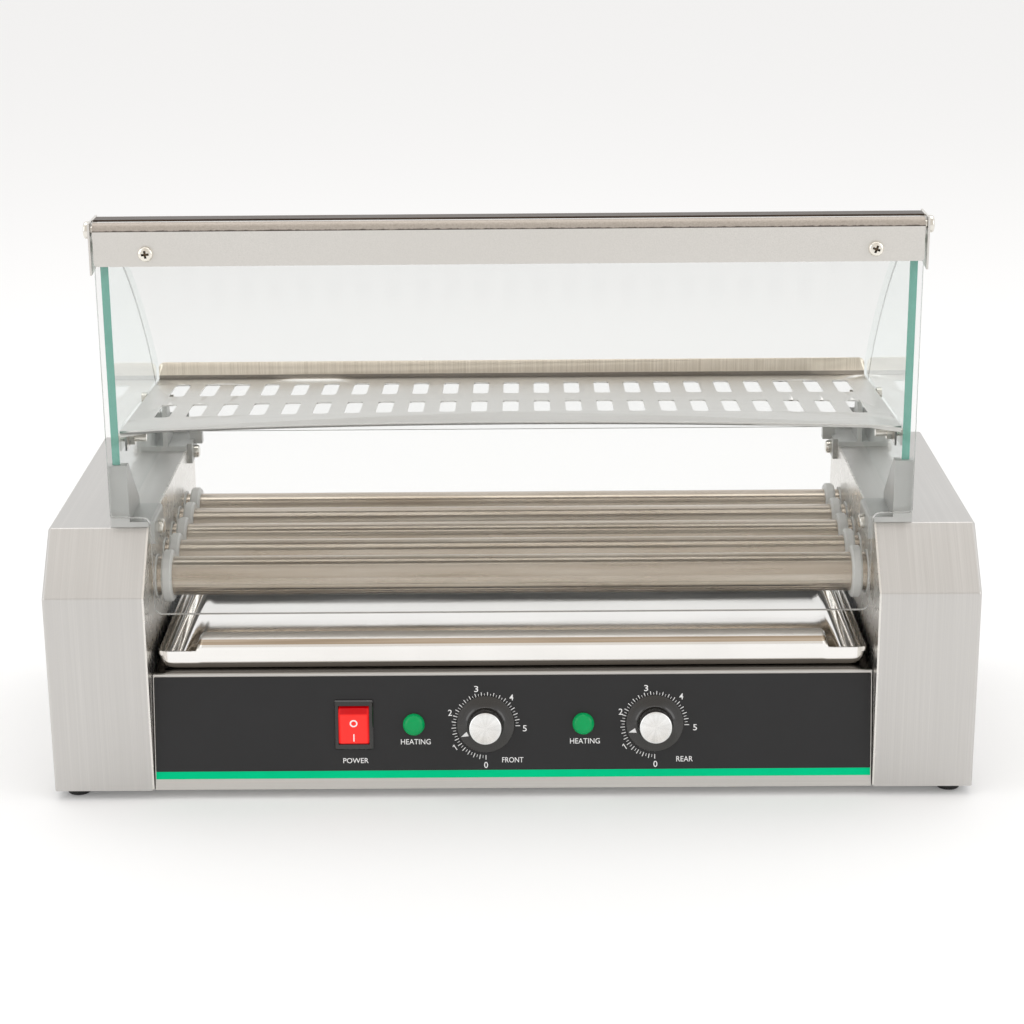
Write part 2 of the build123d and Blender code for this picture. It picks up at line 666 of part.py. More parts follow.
SHEET_END = (239.6, 175.0)
with BuildPart() as rear_sheet:
    with BuildSketch(Plane.YZ.offset(-GLASS_OUT)):
        with BuildLine():
            g0, g1 = 0.2, 0.2 + SHEET_T
            ThreePointArc(out(C1, R1 + g0, P0), out(C1, R1 + g0, P1), out(C1, R1 + g0, P2))
            ThreePointArc(out(C2, R2 + g0, P2), out(C2, R2 + g0, half(P2, SHEET_END)), out(C2, R2 + g0, SHEET_END))
            Line(out(C2, R2 + g0, SHEET_END), out(C2, R2 + g1, SHEET_END))
            ThreePointArc(out(C2, R2 + g1, SHEET_END), out(C2, R2 + g1, half(P2, SHEET_END)), out(C2, R2 + g1, P2))
            ThreePointArc(out(C1, R1 + g1, P2), out(C1, R1 + g1, P1), out(C1, R1 + g1, P0))
            Line(out(C1, R1 + g1, P0), out(C1, R1 + g0, P0))
        make_face()
    extrude(amount=2 * GLASS_OUT)
save(rear_sheet, "rear_sheet")

# ---------------------------------------------------------------- glass brackets
BASE_TOP = 173.4
leg = [(35.0, TOP_Z), (35.0, 210.0), (42.0, 210.0), (75.0, 178.0), (75.0, TOP_Z)]
with BuildPart() as front_brackets:
    for side in (-1, 1):
        # base and the tab folded down the inner wall
        with BuildSketch(Plane.XZ.offset(-(Y0 + 38.5))):
            with BuildLine():
                Polyline(*[(side * x, z) for x, z in (
                    (250.5, TOP_Z), (250.5, BASE_TOP), (226.0, BASE_TOP), (224.4, 172.6), (223.8, 171.0),
                    (223.8, 158.0), (226.8, 158.0), (226.8, TOP_Z))], close=True)
            make_face()
        extrude(amount=-36.5)
        with BuildSketch(Plane.XY.offset(TOP_Z)):
            with Locations((side * (250.5 + 226.8) / 2, Y0 + (35.0 + 38.5) / 2)):
                Rectangle(250.5 - 226.8, 3.5)
        extrude(amount=BASE_TOP - TOP_Z)
        # two cheeks that hold the glass, closed at the front
        for a, b in ((248.0, 250.5), (238.5, 242.7)):
            lo, hi = sorted((side * a, side * b))
            with BuildSketch(Plane.YZ.offset(lo)):
                with BuildLine():
                    Polyline(*yz(*leg), close=True)
                make_face()
            extrude(amount=hi - lo)
        with BuildSketch(Plane.XY.offset(TOP_Z)):
            with Locations((side * (250.5 + 238.5) / 2, Y0 + 36.3)):
                Rectangle(12.0, 2.6)
        extrude(amount=40.0)
        lo, hi = sorted((side * 220.0, side * 227.5))
        with BuildSketch(Plane.YZ.offset(lo)):
            with Locations(*yz(BRACKET_SCREW[0])):
                Circle(2.6)
        extrude(amount=hi - lo, mode=Mode.SUBTRACT)
save(front_brackets, "front_brackets")

with BuildPart() as rear_brackets:
    for side in (-1, 1):
        # base plate with a rounded outer end
        with BuildSketch(Plane.XY.offset(TOP_Z)):
            with Locations((side * (261.5 + 226.8) / 2, Y0 + (207.0 + 245.0) / 2)):
                RectangleRounded(261.5 - 226.8, 38.0, 5.0)
            with Locations((side * (240.0 + 226.8) / 2, Y0 + (207.0 + 245.0) / 2)):
                Rectangle(240.0 - 226.8, 38.0)
            with Locations((side * (226.8 + 218.0) / 2, Y0 + 229.5)):
                Rectangle(226.8 - 218.0, 7.0)
        extrude(amount=BASE_TOP - TOP_Z)
        # tab down the inner wall
        with BuildSketch(Plane.XY.offset(159.0)):
            with Locations((side * 225.3, Y0 + (214.0 + 240.0) / 2)):
                Rectangle(3.0, 26.0)
        extrude(amount=BASE_TOP - 159.0)
        # outer block, inner cheek, closing wall and the stop for the back sheet
        with BuildSketch(Plane.XY.offset(TOP_Z)):
            with Locations((side * (261.5 + 248.0) / 2, Y0 + (207.0 + 238.0) / 2)):
                RectangleRounded(261.5 - 248.0, 31.0, 4.0)
        extrude(amount=16.0)
        lo, hi = sorted((side * 239.5, side * 242.7))
        with BuildSketch(Plane.YZ.offset(lo)):
            with BuildLine():
                Polyline(*yz((207.0, TOP_Z), (207.0, 187.0), (215.0, 206.0), (220.0, 206.0), (236.0, 174.0), (236.0, TOP_Z)), close=True)
            make_face()
        extrude(amount=hi - lo)
        with BuildSketch(Plane.XY.offset(TOP_Z)):
            with Locations((side * (256.0 + 229.0) / 2, Y0 + 244.2)):
                Rectangle(27.0, 1.6)
        extrude(amount=18.0)
        with BuildSketch(Plane.XY.offset(TOP_Z)):
            with Locations((side * (226.8 + 218.0) / 2, Y0 + 229.5)):
                Rectangle(226.8 - 218.0, 7.0)
        extrude(amount=14.0)
        lo, hi = sorted((side * 220.0, side * 227.5))
        with BuildSketch(Plane.YZ.offset(lo)):
            with Locations(*yz(BRACKET_SCREW[1])):
                Circle(2.6)
        extrude(amount=hi - lo, mode=Mode.SUBTRACT)
save(rear_brackets, "rear_brackets")

with BuildPart() as bracket_screws:
    for side in (-1, 1):
        lo, hi = sorted((side * 219.9, side * 223.8))
        with BuildSketch(Plane.YZ.offset(lo)):
            with Locations(*yz(*BRACKET_SCREW)):
                Circle(4.6)
        extrude(amount=hi - lo)
        lo, hi = sorted((side * 223.8, side * 234.0))
        with BuildSketch(Plane.YZ.offset(lo)):
            with Locations(*yz(*BRACKET_SCREW)):
                Circle(2.5)
        extrude(amount=hi - lo)
        # nut inside the housing
        lo, hi = sorted((side * 228.0, side * 232.0))
        with BuildSketch(Plane.YZ.offset(lo)):
            with Locations(*yz(*BRACKET_SCREW)):
                RegularPolygon(4.6, 6)
        extrude(amount=hi - lo)
    heads = bracket_screws.edges().filter_by(GeomType.CIRCLE).filter_by(
        lambda e: abs(abs(e.center().X) - 219.9) < 0.05)
    fillet(heads, 1.8)
save(bracket_screws, "bracket_screws")

# ---------------------------------------------------------------- hood top
with BuildPart() as hood_channel:
    with BuildSketch(Plane.XY.offset(362.0)):
        with Locations((0, Y0 + (41.0 + 52.0) / 2)):
            Rectangle(505.0, 11.0)
    extrude(amount=1.2)
    for side in (-1, 1):
        lo, hi = sorted((side * 251.3, side * 252.5))
        with BuildSketch(Plane.YZ.offset(lo)):
            with BuildLine():
                Polyline(*yz((29.0, 331.5), (29.0, 363.2), (58.0, 363.2), (58.0, 335.0)), close=True)
            make_face()
            with Locations(*yz((AXIS_Y, AXIS_Z), (48.5, 346.0))):
                Circle(2.6, mode=Mode.SUBTRACT)
        extrude(amount=hi - lo)
save(hood_channel, "hood_channel")

with BuildPart() as hood_screws:
    for side in (-1, 1):
        for a, b, r in ((252.5, 254.6, 4.0), (239.0, 252.5, 2.5), (247.7, 251.3, 4.5)):
            lo, hi = sorted((side * a, side * b))
            with BuildSketch(Plane.YZ.offset(lo)):
                with Locations(*yz((48.5, 346.0))):
                    Circle(r)
            extrude(amount=hi - lo)
        lo, hi = sorted((side * 239.6, side * 243.0))
        with BuildSketch(Plane.YZ.offset(lo)):
            with Locations(*yz((48.5, 346.0))):
                RegularPolygon(4.6, 6)
        extrude(amount=hi - lo)
save(hood_screws, "hood_screws")

# ---------------------------------------------------------------- front flap
FLAP_BOTTOM = 336.6
FLAP_SCREWS = [(-220.0, 344.5), (220.0, 344.5)]
with BuildPart() as flap_plate:
    with BuildSketch(Plane.XZ.offset(-(Y0 + 30.0))):
        with Locations((0, (FLAP_BOTTOM + AXIS_Z) / 2)):
            Rectangle(500.0, AXIS_Z - FLAP_BOTTOM)
    extrude(amount=-1.2)
    fillet(flap_plate.edges().filter_by(Axis.Y).group_by(Axis.Z)[0], 2.2)
    # top edge rolled round the hinge line
    with BuildSketch(Plane.YZ.offset(-250.0)):
        with Locations(*yz((AXIS_Y, AXIS_Z))):
            Circle(CURL_R)
    extrude(amount=500.0)
    with BuildSketch(Plane.YZ.offset(-236.0)):
        with Locations(*yz((AXIS_Y, AXIS_Z))):
            Circle(CURL_R - 1.2)
    extrude(amount=472.0, mode=Mode.SUBTRACT)
    with BuildSketch(Plane.YZ.offset(-250.0)):
        with Locations(*yz((AXIS_Y, AXIS_Z))):
            Circle(2.5 + RUN_FIT)
    extrude(amount=500.0, mode=Mode.SUBTRACT)
    with BuildSketch(Plane.XZ.offset(-(Y0 + 30.0))):
        with Locations(*FLAP_SCREWS):
            Circle(2.1)
    extrude(amount=-1.3, mode=Mode.SUBTRACT)
save(flap_plate, "flap_plate")

SHEET_LOW, SHEET_STEP, SHEET_TOP = 113.0, 177.0, 350.5
with BuildPart() as front_sheet:
    with BuildSketch(Plane.XZ.offset(-(Y0 + 31.2))):
        with BuildLine():
            Polyline((-250, SHEET_TOP), (-250, SHEET_STEP), (-225.4, SHEET_STEP), (-225.4, SHEET_LOW), (225.4, SHEET_LOW),
                     (225.4, SHEET_STEP), (250, SHEET_STEP), (250, SHEET_TOP), close=True)
        make_face()
        with Locations(*FLAP_SCREWS):
            Circle(2.1, mode=Mode.SUBTRACT)
    extrude(amount=-SHEET_T)
    ups = front_sheet.edges().filter_by(Axis.Y)
    fillet(ups.group_by(Axis.Z)[0], 5.0)
    fillet(front_sheet.edges().filter_by(Axis.Y).filter_by(lambda e: abs(e.center().Z - SHEET_STEP) < 0.1 and abs(abs(e.center().X) - 250) < 0.1), 2.5)
    fillet(front_sheet.edges().filter_by(Axis.Y).filter_by(lambda e: abs(e.center().Z - SHEET_STEP) < 0.1 and abs(abs(e.center().X) - 225.4) < 0.1), 5.0)
save(front_sheet, "front_sheet")

with BuildPart() as flap_screws:
    with BuildSketch(Plane.XZ.offset(-(Y0 + 27.2))):
        with Locations(*FLAP_SCREWS):
            Circle(4.7)
    extrude(amount=-2.8)
    fillet(flap_screws.edges().filter_by(GeomType.CIRCLE).group_by(Axis.Y)[0], 1.8)
    with BuildSketch(Plane.XZ.offset(-(Y0 + 30.0))):
        with Locations(*FLAP_SCREWS):
            Circle(2.0)
    extrude(amount=-8.4)
    with BuildSketch(Plane.XZ.offset(-(Y0 + 34.2))):
        with Locations(*FLAP_SCREWS):
            RegularPolygon(4.0, 6)
    extrude(amount=-3.0)
save(flap_screws, "flap_screws")

with BuildPart() as pivot_screws:
    for side in (-1, 1):
        for a, b, r in ((252.5, 255.4, 5.3), (239.0, 252.5, 2.5)):
            lo, hi = sorted((side * a, side * b))
            with BuildSketch(Plane.YZ.offset(lo)):
                with Locations(*yz((AXIS_Y, AXIS_Z))):
                    Circle(r)
            extrude(amount=hi - lo)
    fillet(pivot_screws.edges().filter_by(GeomType.CIRCLE).filter_by(lambda e: abs(abs(e.center().X) - 255.4) < 0.05), 1.4)
save(pivot_screws, "pivot_screws")

# ---------------------------------------------------------------- bun shelf
FALL = atan2(SHELF_FRONT[1] - SHELF_REAR[1], SHELF_REAR[0] - SHELF_FRONT[0])
SHELF_LEN = sqrt((SHELF_FRONT[1] - SHELF_REAR[1]) ** 2 + (SHELF_REAR[0] - SHELF_FRONT[0]) ** 2)
shelf_plane = Plane(
    origin=(0, Y0 + SHELF_FRONT[0], SHELF_FRONT[1]), x_dir=(1, 0, 0), z_dir=(0, sin(FALL), cos(FALL))
)
SLOT_PITCH = 20.2
SHELF_BOLT = ((62.0, 220.8), (182.0, 214.6))
with BuildPart() as bun_shelf:
    with BuildSketch(shelf_plane.offset(-1.0)):
        with Locations((0, SHELF_LEN / 2)):
            Rectangle(2 * SHELF_HALF, SHELF_LEN)
    extrude(amount=1.0)
    with BuildSketch(shelf_plane.offset(-1.0)):
        with Locations(*[((i - 11) * SLOT_PITCH, d) for i in range(23) for d in (58.0, 124.0)]):
            RectangleRounded(10.3, 40.0, 3.0)
    extrude(amount=1.0, mode=Mode.SUBTRACT)
    # rear upstand with rounded corners, front lip turned down
    with BuildSketch(Plane.XZ.offset(-(Y0 + SHELF_REAR[0]))):
        with Locations((0, SHELF_REAR[1] - 1.0 + 6.3)):
            Rectangle(2 * SHELF_HALF, 12.6)
    extrude(amount=1.0)
    fillet(bun_shelf.edges().filter_by(Axis.Y).filter_by(lambda e: e.length < 1.5).group_by(Axis.Z)[-1], 4.0)
    with BuildSketch(Plane.XZ.offset(-(Y0 + SHELF_FRONT[0] + 1.0))):
        with Locations((0, SHELF_FRONT[1] - 2.0)):
            Rectangle(2 * SHELF_HALF, 4.0)
    extrude(amount=1.0)
    # tabs turned down at the ends
    for side in (-1, 1):
        lo, hi = sorted((side * 240.6, side * 241.8))
        with BuildSketch(Plane.YZ.offset(lo)):
            for y, z in SHELF_BOLT:
                with Locations(*yz((y, z + 1.5))):
                    Rectangle(17.0, 15.6)
                with Locations(*yz((y, z))):
                    Circle(2.6, mode=Mode.SUBTRACT)
        extrude(amount=hi - lo)
save(bun_shelf, "bun_shelf")

with BuildPart() as shelf_fasteners:
    for side in (-1, 1):
        for a, b, r in ((247.7, 250.9, 4.2), (229.5, 247.7, 2.5)):
            lo, hi = sorted((side * a, side * b))
            with BuildSketch(Plane.YZ.offset(lo)):
                with Locations(*yz(*SHELF_BOLT)):
                    Circle(r)
            extrude(amount=hi - lo)
        lo, hi = sorted((side * 236.4, side * 240.6))
        with BuildSketch(Plane.YZ.offset(lo)):
            with Locations(*yz(*SHELF_BOLT)):
                RegularPolygon(4.6, 6)
        extrude(amount=hi - lo)
save(shelf_fasteners, "shelf_fasteners")

# ================================================================ drip tray
TRAY_Z = 79.3
RIM_Z = 91.0
with BuildPart() as drip_tray:
    with BuildSketch(Plane.XY.offset(TRAY_Z)):
        with Locations((0, Y0 + 25.0 + 98.5)):
            RectangleRounded(426.0, 197.0, 10.0)
    extrude(amount=RIM_Z - TRAY_Z)
    fillet(drip_tray.edges().group_by(Axis.Z)[0], 5.0)
    offset(amount=-0.8, openings=drip_tray.faces().sort_by(Axis.Z)[-1])
    # stepped side rims and the back rim
    with BuildSketch(Plane.XY.offset(RIM_Z - 0.8)):
        for side in (-1, 1):
            with Locations((side * 218.2, Y0 + 126.5)):
                RectangleRounded(11.6, 203.0, 3.0)
        with Locations((0, Y0 + 225.0)):
            Rectangle(436.0, 7.6)
        with Locations((0, Y0 + 123.0)):
            RectangleRounded(425.0, 196.0, 9.6, mode=Mode.SUBTRACT)
    extrude(amount=0.8)
    with BuildSketch(Plane.XY.offset(RIM_Z)):
        for side in (-1, 1):
            with Locations((side * 216.4, Y0 + 126.5), (side * 220.6, Y0 + 126.5)):
                Rectangle(1.8, 196.0)
    extrude(amount=0.7)
    with BuildSketch(Plane.XY.offset(RIM_Z - 3.2)):
        for side in (-1, 1):
            with Locations((side * 223.6, Y0 + 126.5)):
                Rectangle(0.8, 196.0)
    extrude(amount=3.2)
    # front edge raised and rolled inwards as a finger grip
    with BuildSketch(Plane.YZ.offset(-195.0)):
        with BuildLine():
            Polyline(*yz((25.8, 94.5), (25.8, 88.0), (25.0, 88.0), (25.0, 94.5)))
            ThreePointArc(*yz((25.0, 94.5), (31.0, 100.5), (37.0, 94.5)))
            Polyline(*yz((37.0, 94.5), (37.0, 90.0), (36.2, 90.0), (36.2, 94.5)))
            ThreePointArc(*yz((36.2, 94.5), (31.0, 99.7), (25.8, 94.5)))
        make_face()
    extrude(amount=390.0)
save(drip_tray, "drip_tray")
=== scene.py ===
"""Looks for the hot dog roller grill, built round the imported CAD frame."""
import bpy, bmesh, json, math
from mathutils import Matrix, Vector


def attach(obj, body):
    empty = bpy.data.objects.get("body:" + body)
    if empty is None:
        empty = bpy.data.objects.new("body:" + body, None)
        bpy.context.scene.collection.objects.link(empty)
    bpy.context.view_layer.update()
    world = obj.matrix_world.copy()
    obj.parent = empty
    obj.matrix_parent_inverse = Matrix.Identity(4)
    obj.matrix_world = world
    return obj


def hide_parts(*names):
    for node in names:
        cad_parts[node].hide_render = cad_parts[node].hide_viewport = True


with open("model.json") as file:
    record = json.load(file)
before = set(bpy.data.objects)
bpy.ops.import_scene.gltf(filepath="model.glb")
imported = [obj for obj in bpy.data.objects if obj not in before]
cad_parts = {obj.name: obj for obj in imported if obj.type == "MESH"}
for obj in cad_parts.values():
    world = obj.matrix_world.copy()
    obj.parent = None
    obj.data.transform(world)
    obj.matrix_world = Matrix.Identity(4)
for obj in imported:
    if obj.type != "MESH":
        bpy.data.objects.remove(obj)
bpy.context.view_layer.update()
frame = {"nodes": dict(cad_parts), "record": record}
NODES = frame["nodes"]
SCENE = bpy.context.scene
SCENE.view_settings.view_transform = "Standard"
MM = 0.001

# ------------------------------------------------------------------ camera
def make_camera():
    p, yaw, ro = math.radians(17.57), math.radians(-0.38), math.radians(-0.51)
    f = Vector((math.sin(yaw) * math.cos(p), math.cos(yaw) * math.cos(p), -math.sin(p)))
    r = Vector((math.cos(yaw), -math.sin(yaw), 0.0))
    u = r.cross(f)
    r2 = r * math.cos(ro) + u * math.sin(ro)
    u2 = u * math.cos(ro) - r * math.sin(ro)
    cam = bpy.data.cameras.new("camera")
    cam.lens = 2354.97 / 1024 * 36.0
    cam.sensor_width = 36.0
    cam.sensor_fit = "HORIZONTAL"
    cam.clip_start, cam.clip_end = 0.05, 100.0
    ob = bpy.data.objects.new("camera", cam)
    SCENE.collection.objects.link(ob)
    ob.matrix_world = Matrix.Translation((0.00998, -1.48942, 0.62226)) @ Matrix((r2, u2, -f)).transposed().to_4x4()
    SCENE.camera = ob
make_camera()

# ------------------------------------------------------------------ node helpers
def new_mat(name):
    m = bpy.data.materials.new(name)
    m.use_nodes = True
    nt = m.node_tree
    nt.nodes.clear()
    out = nt.nodes.new("ShaderNodeOutputMaterial")
    return m, nt, out

def N(nt, kind, **kw):
    n = nt.nodes.new("ShaderNode" + kind)
    for k, v in kw.items():
        if k.startswith("i_"):
            n.inputs[k[2:].replace("_", " ")].default_value = v
        else:
            setattr(n, k, v)
    return n

def L(nt, a, b):
    nt.links.new(a, b)

def coords(nt, scale=(1, 1, 1), rot=(0, 0, 0)):
    tc = N(nt, "TexCoord")
    mp = N(nt, "Mapping")
    mp.inputs["Scale"].default_value = scale
    mp.inputs["Rotation"].default_value = rot
    L(nt, tc.outputs["Object"], mp.inputs["Vector"])
    return mp.outputs["Vector"]

def noise(nt, vec, scale=1.0, detail=3.0, rough=0.55):
    n = N(nt, "TexNoise")
    n.inputs["Scale"].default_value = scale
    n.inputs["Detail"].default_value = detail
    n.inputs["Roughness"].default_value = rough
    if vec is not None:
        L(nt, vec, n.inputs["Vector"])
    return n.outputs["Fac"]

def ramp(nt, fac, stops):
    r = N(nt, "ValToRGB")
    el = r.color_ramp.elements
    el[0].position, el[0].color = stops[0][0], (*stops[0][1], 1)
    el[1].position, el[1].color = stops[-1][0], (*stops[-1][1], 1)
    for p, c in stops[1:-1]:
        e = el.new(p)
        e.color = (*c, 1)
    L(nt, fac, r.inputs["Fac"])
    return r.outputs["Color"]

def vramp(nt, fac, lo, hi, a=0.0, b=1.0):
    m = N(nt, "MapRange")
    m.inputs["From Min"].default_value = a
    m.inputs["From Max"].default_value = b
    m.inputs["To Min"].default_value = lo
    m.inputs["To Max"].default_value = hi
    L(nt, fac, m.inputs["Value"])
    return m.outputs["Result"]

def bump(nt, height, strength, dist, normal=None):
    b = N(nt, "Bump")
    b.inputs["Strength"].default_value = strength
    b.inputs["Distance"].default_value = dist
    L(nt, height, b.inputs["Height"])
    if normal is not None:
        L(nt, normal, b.inputs["Normal"])
    return b.outputs["Normal"]

def bsdf(nt, out, **kw):
    b = N(nt, "BsdfPrincipled")
    for k, v in kw.items():
        b.inputs[k].default_value = v
    L(nt, b.outputs["BSDF"], out.inputs["Surface"])
    return b

def grey(v):
    return (v, v, v)

def abs_normal(nt, axis):
    g = N(nt, "NewGeometry")
    vt = N(nt, "VectorTransform", vector_type="NORMAL", convert_from="WORLD", convert_to="OBJECT")
    L(nt, g.outputs["True Normal"], vt.inputs["Vector"])
    s = N(nt, "SeparateXYZ")
    L(nt, vt.outputs["Vector"], s.inputs["Vector"])
    a = N(nt, "Math", operation="ABSOLUTE")
    L(nt, s.outputs[axis], a.inputs[0])
    return a.outputs["Value"]

def mixf(nt, fac, a, b):
    m = N(nt, "Mix", data_type="FLOAT")
    for sock, v in ((m.inputs[0], fac), (m.inputs[2], a), (m.inputs[3], b)):
        if isinstance(v, (int, float)):
            sock.default_value = v
        else:
            L(nt, v, sock)
    return m.outputs[0]

def mixc(nt, fac, a, b, blend="MIX"):
    m = N(nt, "Mix", data_type="RGBA", blend_type=blend)
    for sock, v in ((m.inputs[0], fac), (m.inputs[6], a), (m.inputs[7], b)):
        if isinstance(v, (int, float)):
            sock.default_value = v
        elif isinstance(v, tuple):
            sock.default_value = (*v, 1) if len(v) == 3 else v
        else:
            L(nt, v, sock)
    return m.outputs[2]

# ------------------------------------------------------------------ materials
def brushed(name, base, grain="auto", rough=(0.30, 0.44), depth=0.35, tint=0.05, fine=2600.0):
    """Satin stainless sheet with long fine grain lines and faint cloudy variation."""
    m, nt, out = new_mat(name)
    slow = 9.0
    if grain == "x":                      # lines run along X
        v1 = coords(nt, (slow, fine, fine))
        streak = noise(nt, v1, 1.0, 2.0)
        v2 = coords(nt, (slow * 0.3, fine * 0.16, fine * 0.16))
        wide = noise(nt, v2, 1.0, 2.0)
    else:                                 # lines run up the sheet
        nx = abs_normal(nt, "X")
        sel = N(nt, "Math", operation="GREATER_THAN")
        sel.inputs[1].default_value = 0.6
        L(nt, nx, sel.inputs[0])
        a1 = noise(nt, coords(nt, (fine, slow, slow)), 1.0, 2.0)
        b1 = noise(nt, coords(nt, (slow, fine, slow)), 1.0, 2.0)
        streak = mixf(nt, sel.outputs[0], a1, b1)
        a2 = noise(nt, coords(nt, (fine * 0.16, slow * 0.3, slow * 0.3)), 1.0, 2.0)
        b2 = noise(nt, coords(nt, (slow * 0.3, fine * 0.16, slow * 0.3)), 1.0, 2.0)
        wide = mixf(nt, sel.outputs[0], a2, b2)
    cloud = noise(nt, coords(nt, (1, 1, 1)), 9.0, 3.0)
    lo = tuple(c * (1 - tint * 1.6) for c in base)
    hi = tuple(min(1, c * (1 + tint)) for c in base)
    c1 = ramp(nt, streak, [(0.3, lo), (0.7, hi)])
    c2 = mixc(nt, vramp(nt, wide, 0.0, 0.55, 0.35, 0.65), c1, tuple(c * 0.93 for c in base))
    b = bsdf(nt, out, Metallic=1.0)
    L(nt, c2, b.inputs["Base Color"])
    r1 = vramp(nt, streak, rough[0], rough[1], 0.25, 0.75)
    r2 = N(nt, "Math", operation="ADD")
    L(nt, r1, r2.inputs[0])
    L(nt, vramp(nt, cloud, -0.03, 0.05, 0.3, 0.7), r2.inputs[1])
    L(nt, r2.outputs[0], b.inputs["Roughness"])
    L(nt, bump(nt, streak, depth, 0.00004, bump(nt, wide, depth * 0.6, 0.00008)), b.inputs["Normal"])
    return m

def polished(name, base, rough=(0.05, 0.12), warm=None, wave=0.0):
    """Polished steel: faint smears in roughness, very shallow rolling waves."""
    m, nt, out = new_mat(name)
    cloud = noise(nt, coords(nt, (1, 1, 1)), 14.0, 4.0)
    smear = noise(nt, coords(nt, (6, 90, 90)), 1.0, 3.0)
    b = bsdf(nt, out, Metallic=1.0)
    tintc = warm or tuple(c * 0.93 for c in base)
    L(nt, ramp(nt, cloud, [(0.35, base), (0.7, tintc)]), b.inputs["Base Color"])
    L(nt, vramp(nt, smear, rough[0], rough[1], 0.3, 0.7), b.inputs["Roughness"])
    if wave:
        L(nt, bump(nt, cloud, wave, 0.001), b.inputs["Normal"])
    return m

def plastic(name, base, rough=0.35, grain=0.0, grain_scale=900.0, coat=0.0, vary=0.12, spec=0.5, emit=0.0, trans=0.0):
    m, nt, out = new_mat(name)
    n1 = noise(nt, coords(nt), grain_scale, 2.0)
    n2 = noise(nt, coords(nt), 30.0, 3.0)
    b = bsdf(nt, out)
    b.inputs["Specular IOR Level"].default_value = spec
    b.inputs["Coat Weight"].default_value = coat
    b.inputs["Coat Roughness"].default_value = 0.05
    b.inputs["Transmission Weight"].default_value = trans
    lo = tuple(c * (1 - vary) for c in base)
    hi = tuple(min(1.0, c * (1 + vary)) for c in base)
    L(nt, ramp(nt, n2, [(0.3, lo), (0.7, hi)]), b.inputs["Base Color"])
    L(nt, vramp(nt, n1, rough * 0.88, rough * 1.12, 0.3, 0.7), b.inputs["Roughness"])
    if grain:
        L(nt, bump(nt, n1, grain, 0.00008), b.inputs["Normal"])
    if emit:
        b.inputs["Emission Color"].default_value = (*base, 1)
        b.inputs["Emission Strength"].default_value = emit
    return m

def clear(nt, tint, gloss=0.03, smear=0.02, ior=1.33):
    """A clear sheet: what is behind shows through, with a Fresnel sheen and faint wipe marks."""
    tr = N(nt, "BsdfTransparent")
    tr.inputs["Color"].default_value = (*tint, 1)
    gl = N(nt, "BsdfGlossy")
    gl.inputs["Color"].default_value = (0.95, 0.97, 0.97, 1)
    wipes = noise(nt, coords(nt, (8, 3, 14)), 1.0, 4.0)
    L(nt, vramp(nt, wipes, gloss, gloss + 0.05, 0.3, 0.7), gl.inputs["Roughness"])
    fr = N(nt, "Fresnel")
    fr.inputs["IOR"].default_value = ior
    back = N(nt, "NewGeometry")
    outer = N(nt, "Math", operation="SUBTRACT")
    outer.inputs[0].default_value = 1.0
    L(nt, back.outputs["Backfacing"], outer.inputs[1])
    front = N(nt, "Math", operation="MULTIPLY")
    L(nt, fr.outputs[0], front.inputs[0])
    L(nt, outer.outputs[0], front.inputs[1])
    fac = N(nt, "Math", operation="ADD")
    L(nt, front.outputs[0], fac.inputs[0])
    L(nt, vramp(nt, wipes, 0.0, smear, 0.35, 0.75), fac.inputs[1])
    mx = N(nt, "MixShader")
    L(nt, fac.outputs[0], mx.inputs[0])
    L(nt, tr.outputs[0], mx.inputs[1])
    L(nt, gl.outputs[0], mx.inputs[2])
    return mx.outputs[0]

def compare(nt, value, op, limit):
    m = N(nt, "Math", operation=op)
    m.inputs[1].default_value = limit
    L(nt, value, m.inputs[0])
    return m.outputs[0]

def position(nt, axis):
    tc = N(nt, "TexCoord")
    s = N(nt, "SeparateXYZ")
    L(nt, tc.outputs["Object"], s.inputs["Vector"])
    return s.outputs[axis]

def edged(name, tint, masks, edge_col, edge_rough=0.25, emit=0.0, trans=0.2, smear=0.02, ior=1.33):
    """Clear sheet whose cut edges, picked out by masks, show the body colour of the stuff."""
    m, nt, out = new_mat(name)
    body = clear(nt, tint, smear=smear, ior=ior)
    mask = None
    for kind, axis, op, limit in masks:
        v = abs_normal(nt, axis) if kind == "n" else position(nt, axis)
        c = compare(nt, v, op, limit)
        if mask is None:
            mask = c
        else:
            mm = N(nt, "Math", operation="MAXIMUM")
            L(nt, mask, mm.inputs[0]); L(nt, c, mm.inputs[1])
            mask = mm.outputs[0]
    e = N(nt, "BsdfPrincipled")
    n = noise(nt, coords(nt, (60, 60, 18)), 1.0, 3.0)
    L(nt, ramp(nt, n, [(0.3, tuple(c * 0.88 for c in edge_col)), (0.7, edge_col)]), e.inputs["Base Color"])
    e.inputs["Roughness"].default_value = edge_rough
    e.inputs["Transmission Weight"].default_value = trans
    # a nonzero emit makes the edge colour glow: painted light
    e.inputs["Emission Color"].default_value = (*edge_col, 1)
    e.inputs["Emission Strength"].default_value = emit
    m2 = N(nt, "MixShader")
    L(nt, mask, m2.inputs[0])
    L(nt, body, m2.inputs[1])
    L(nt, e.outputs[0], m2.inputs[2])
    L(nt, m2.outputs[0], out.inputs["Surface"])
    return m

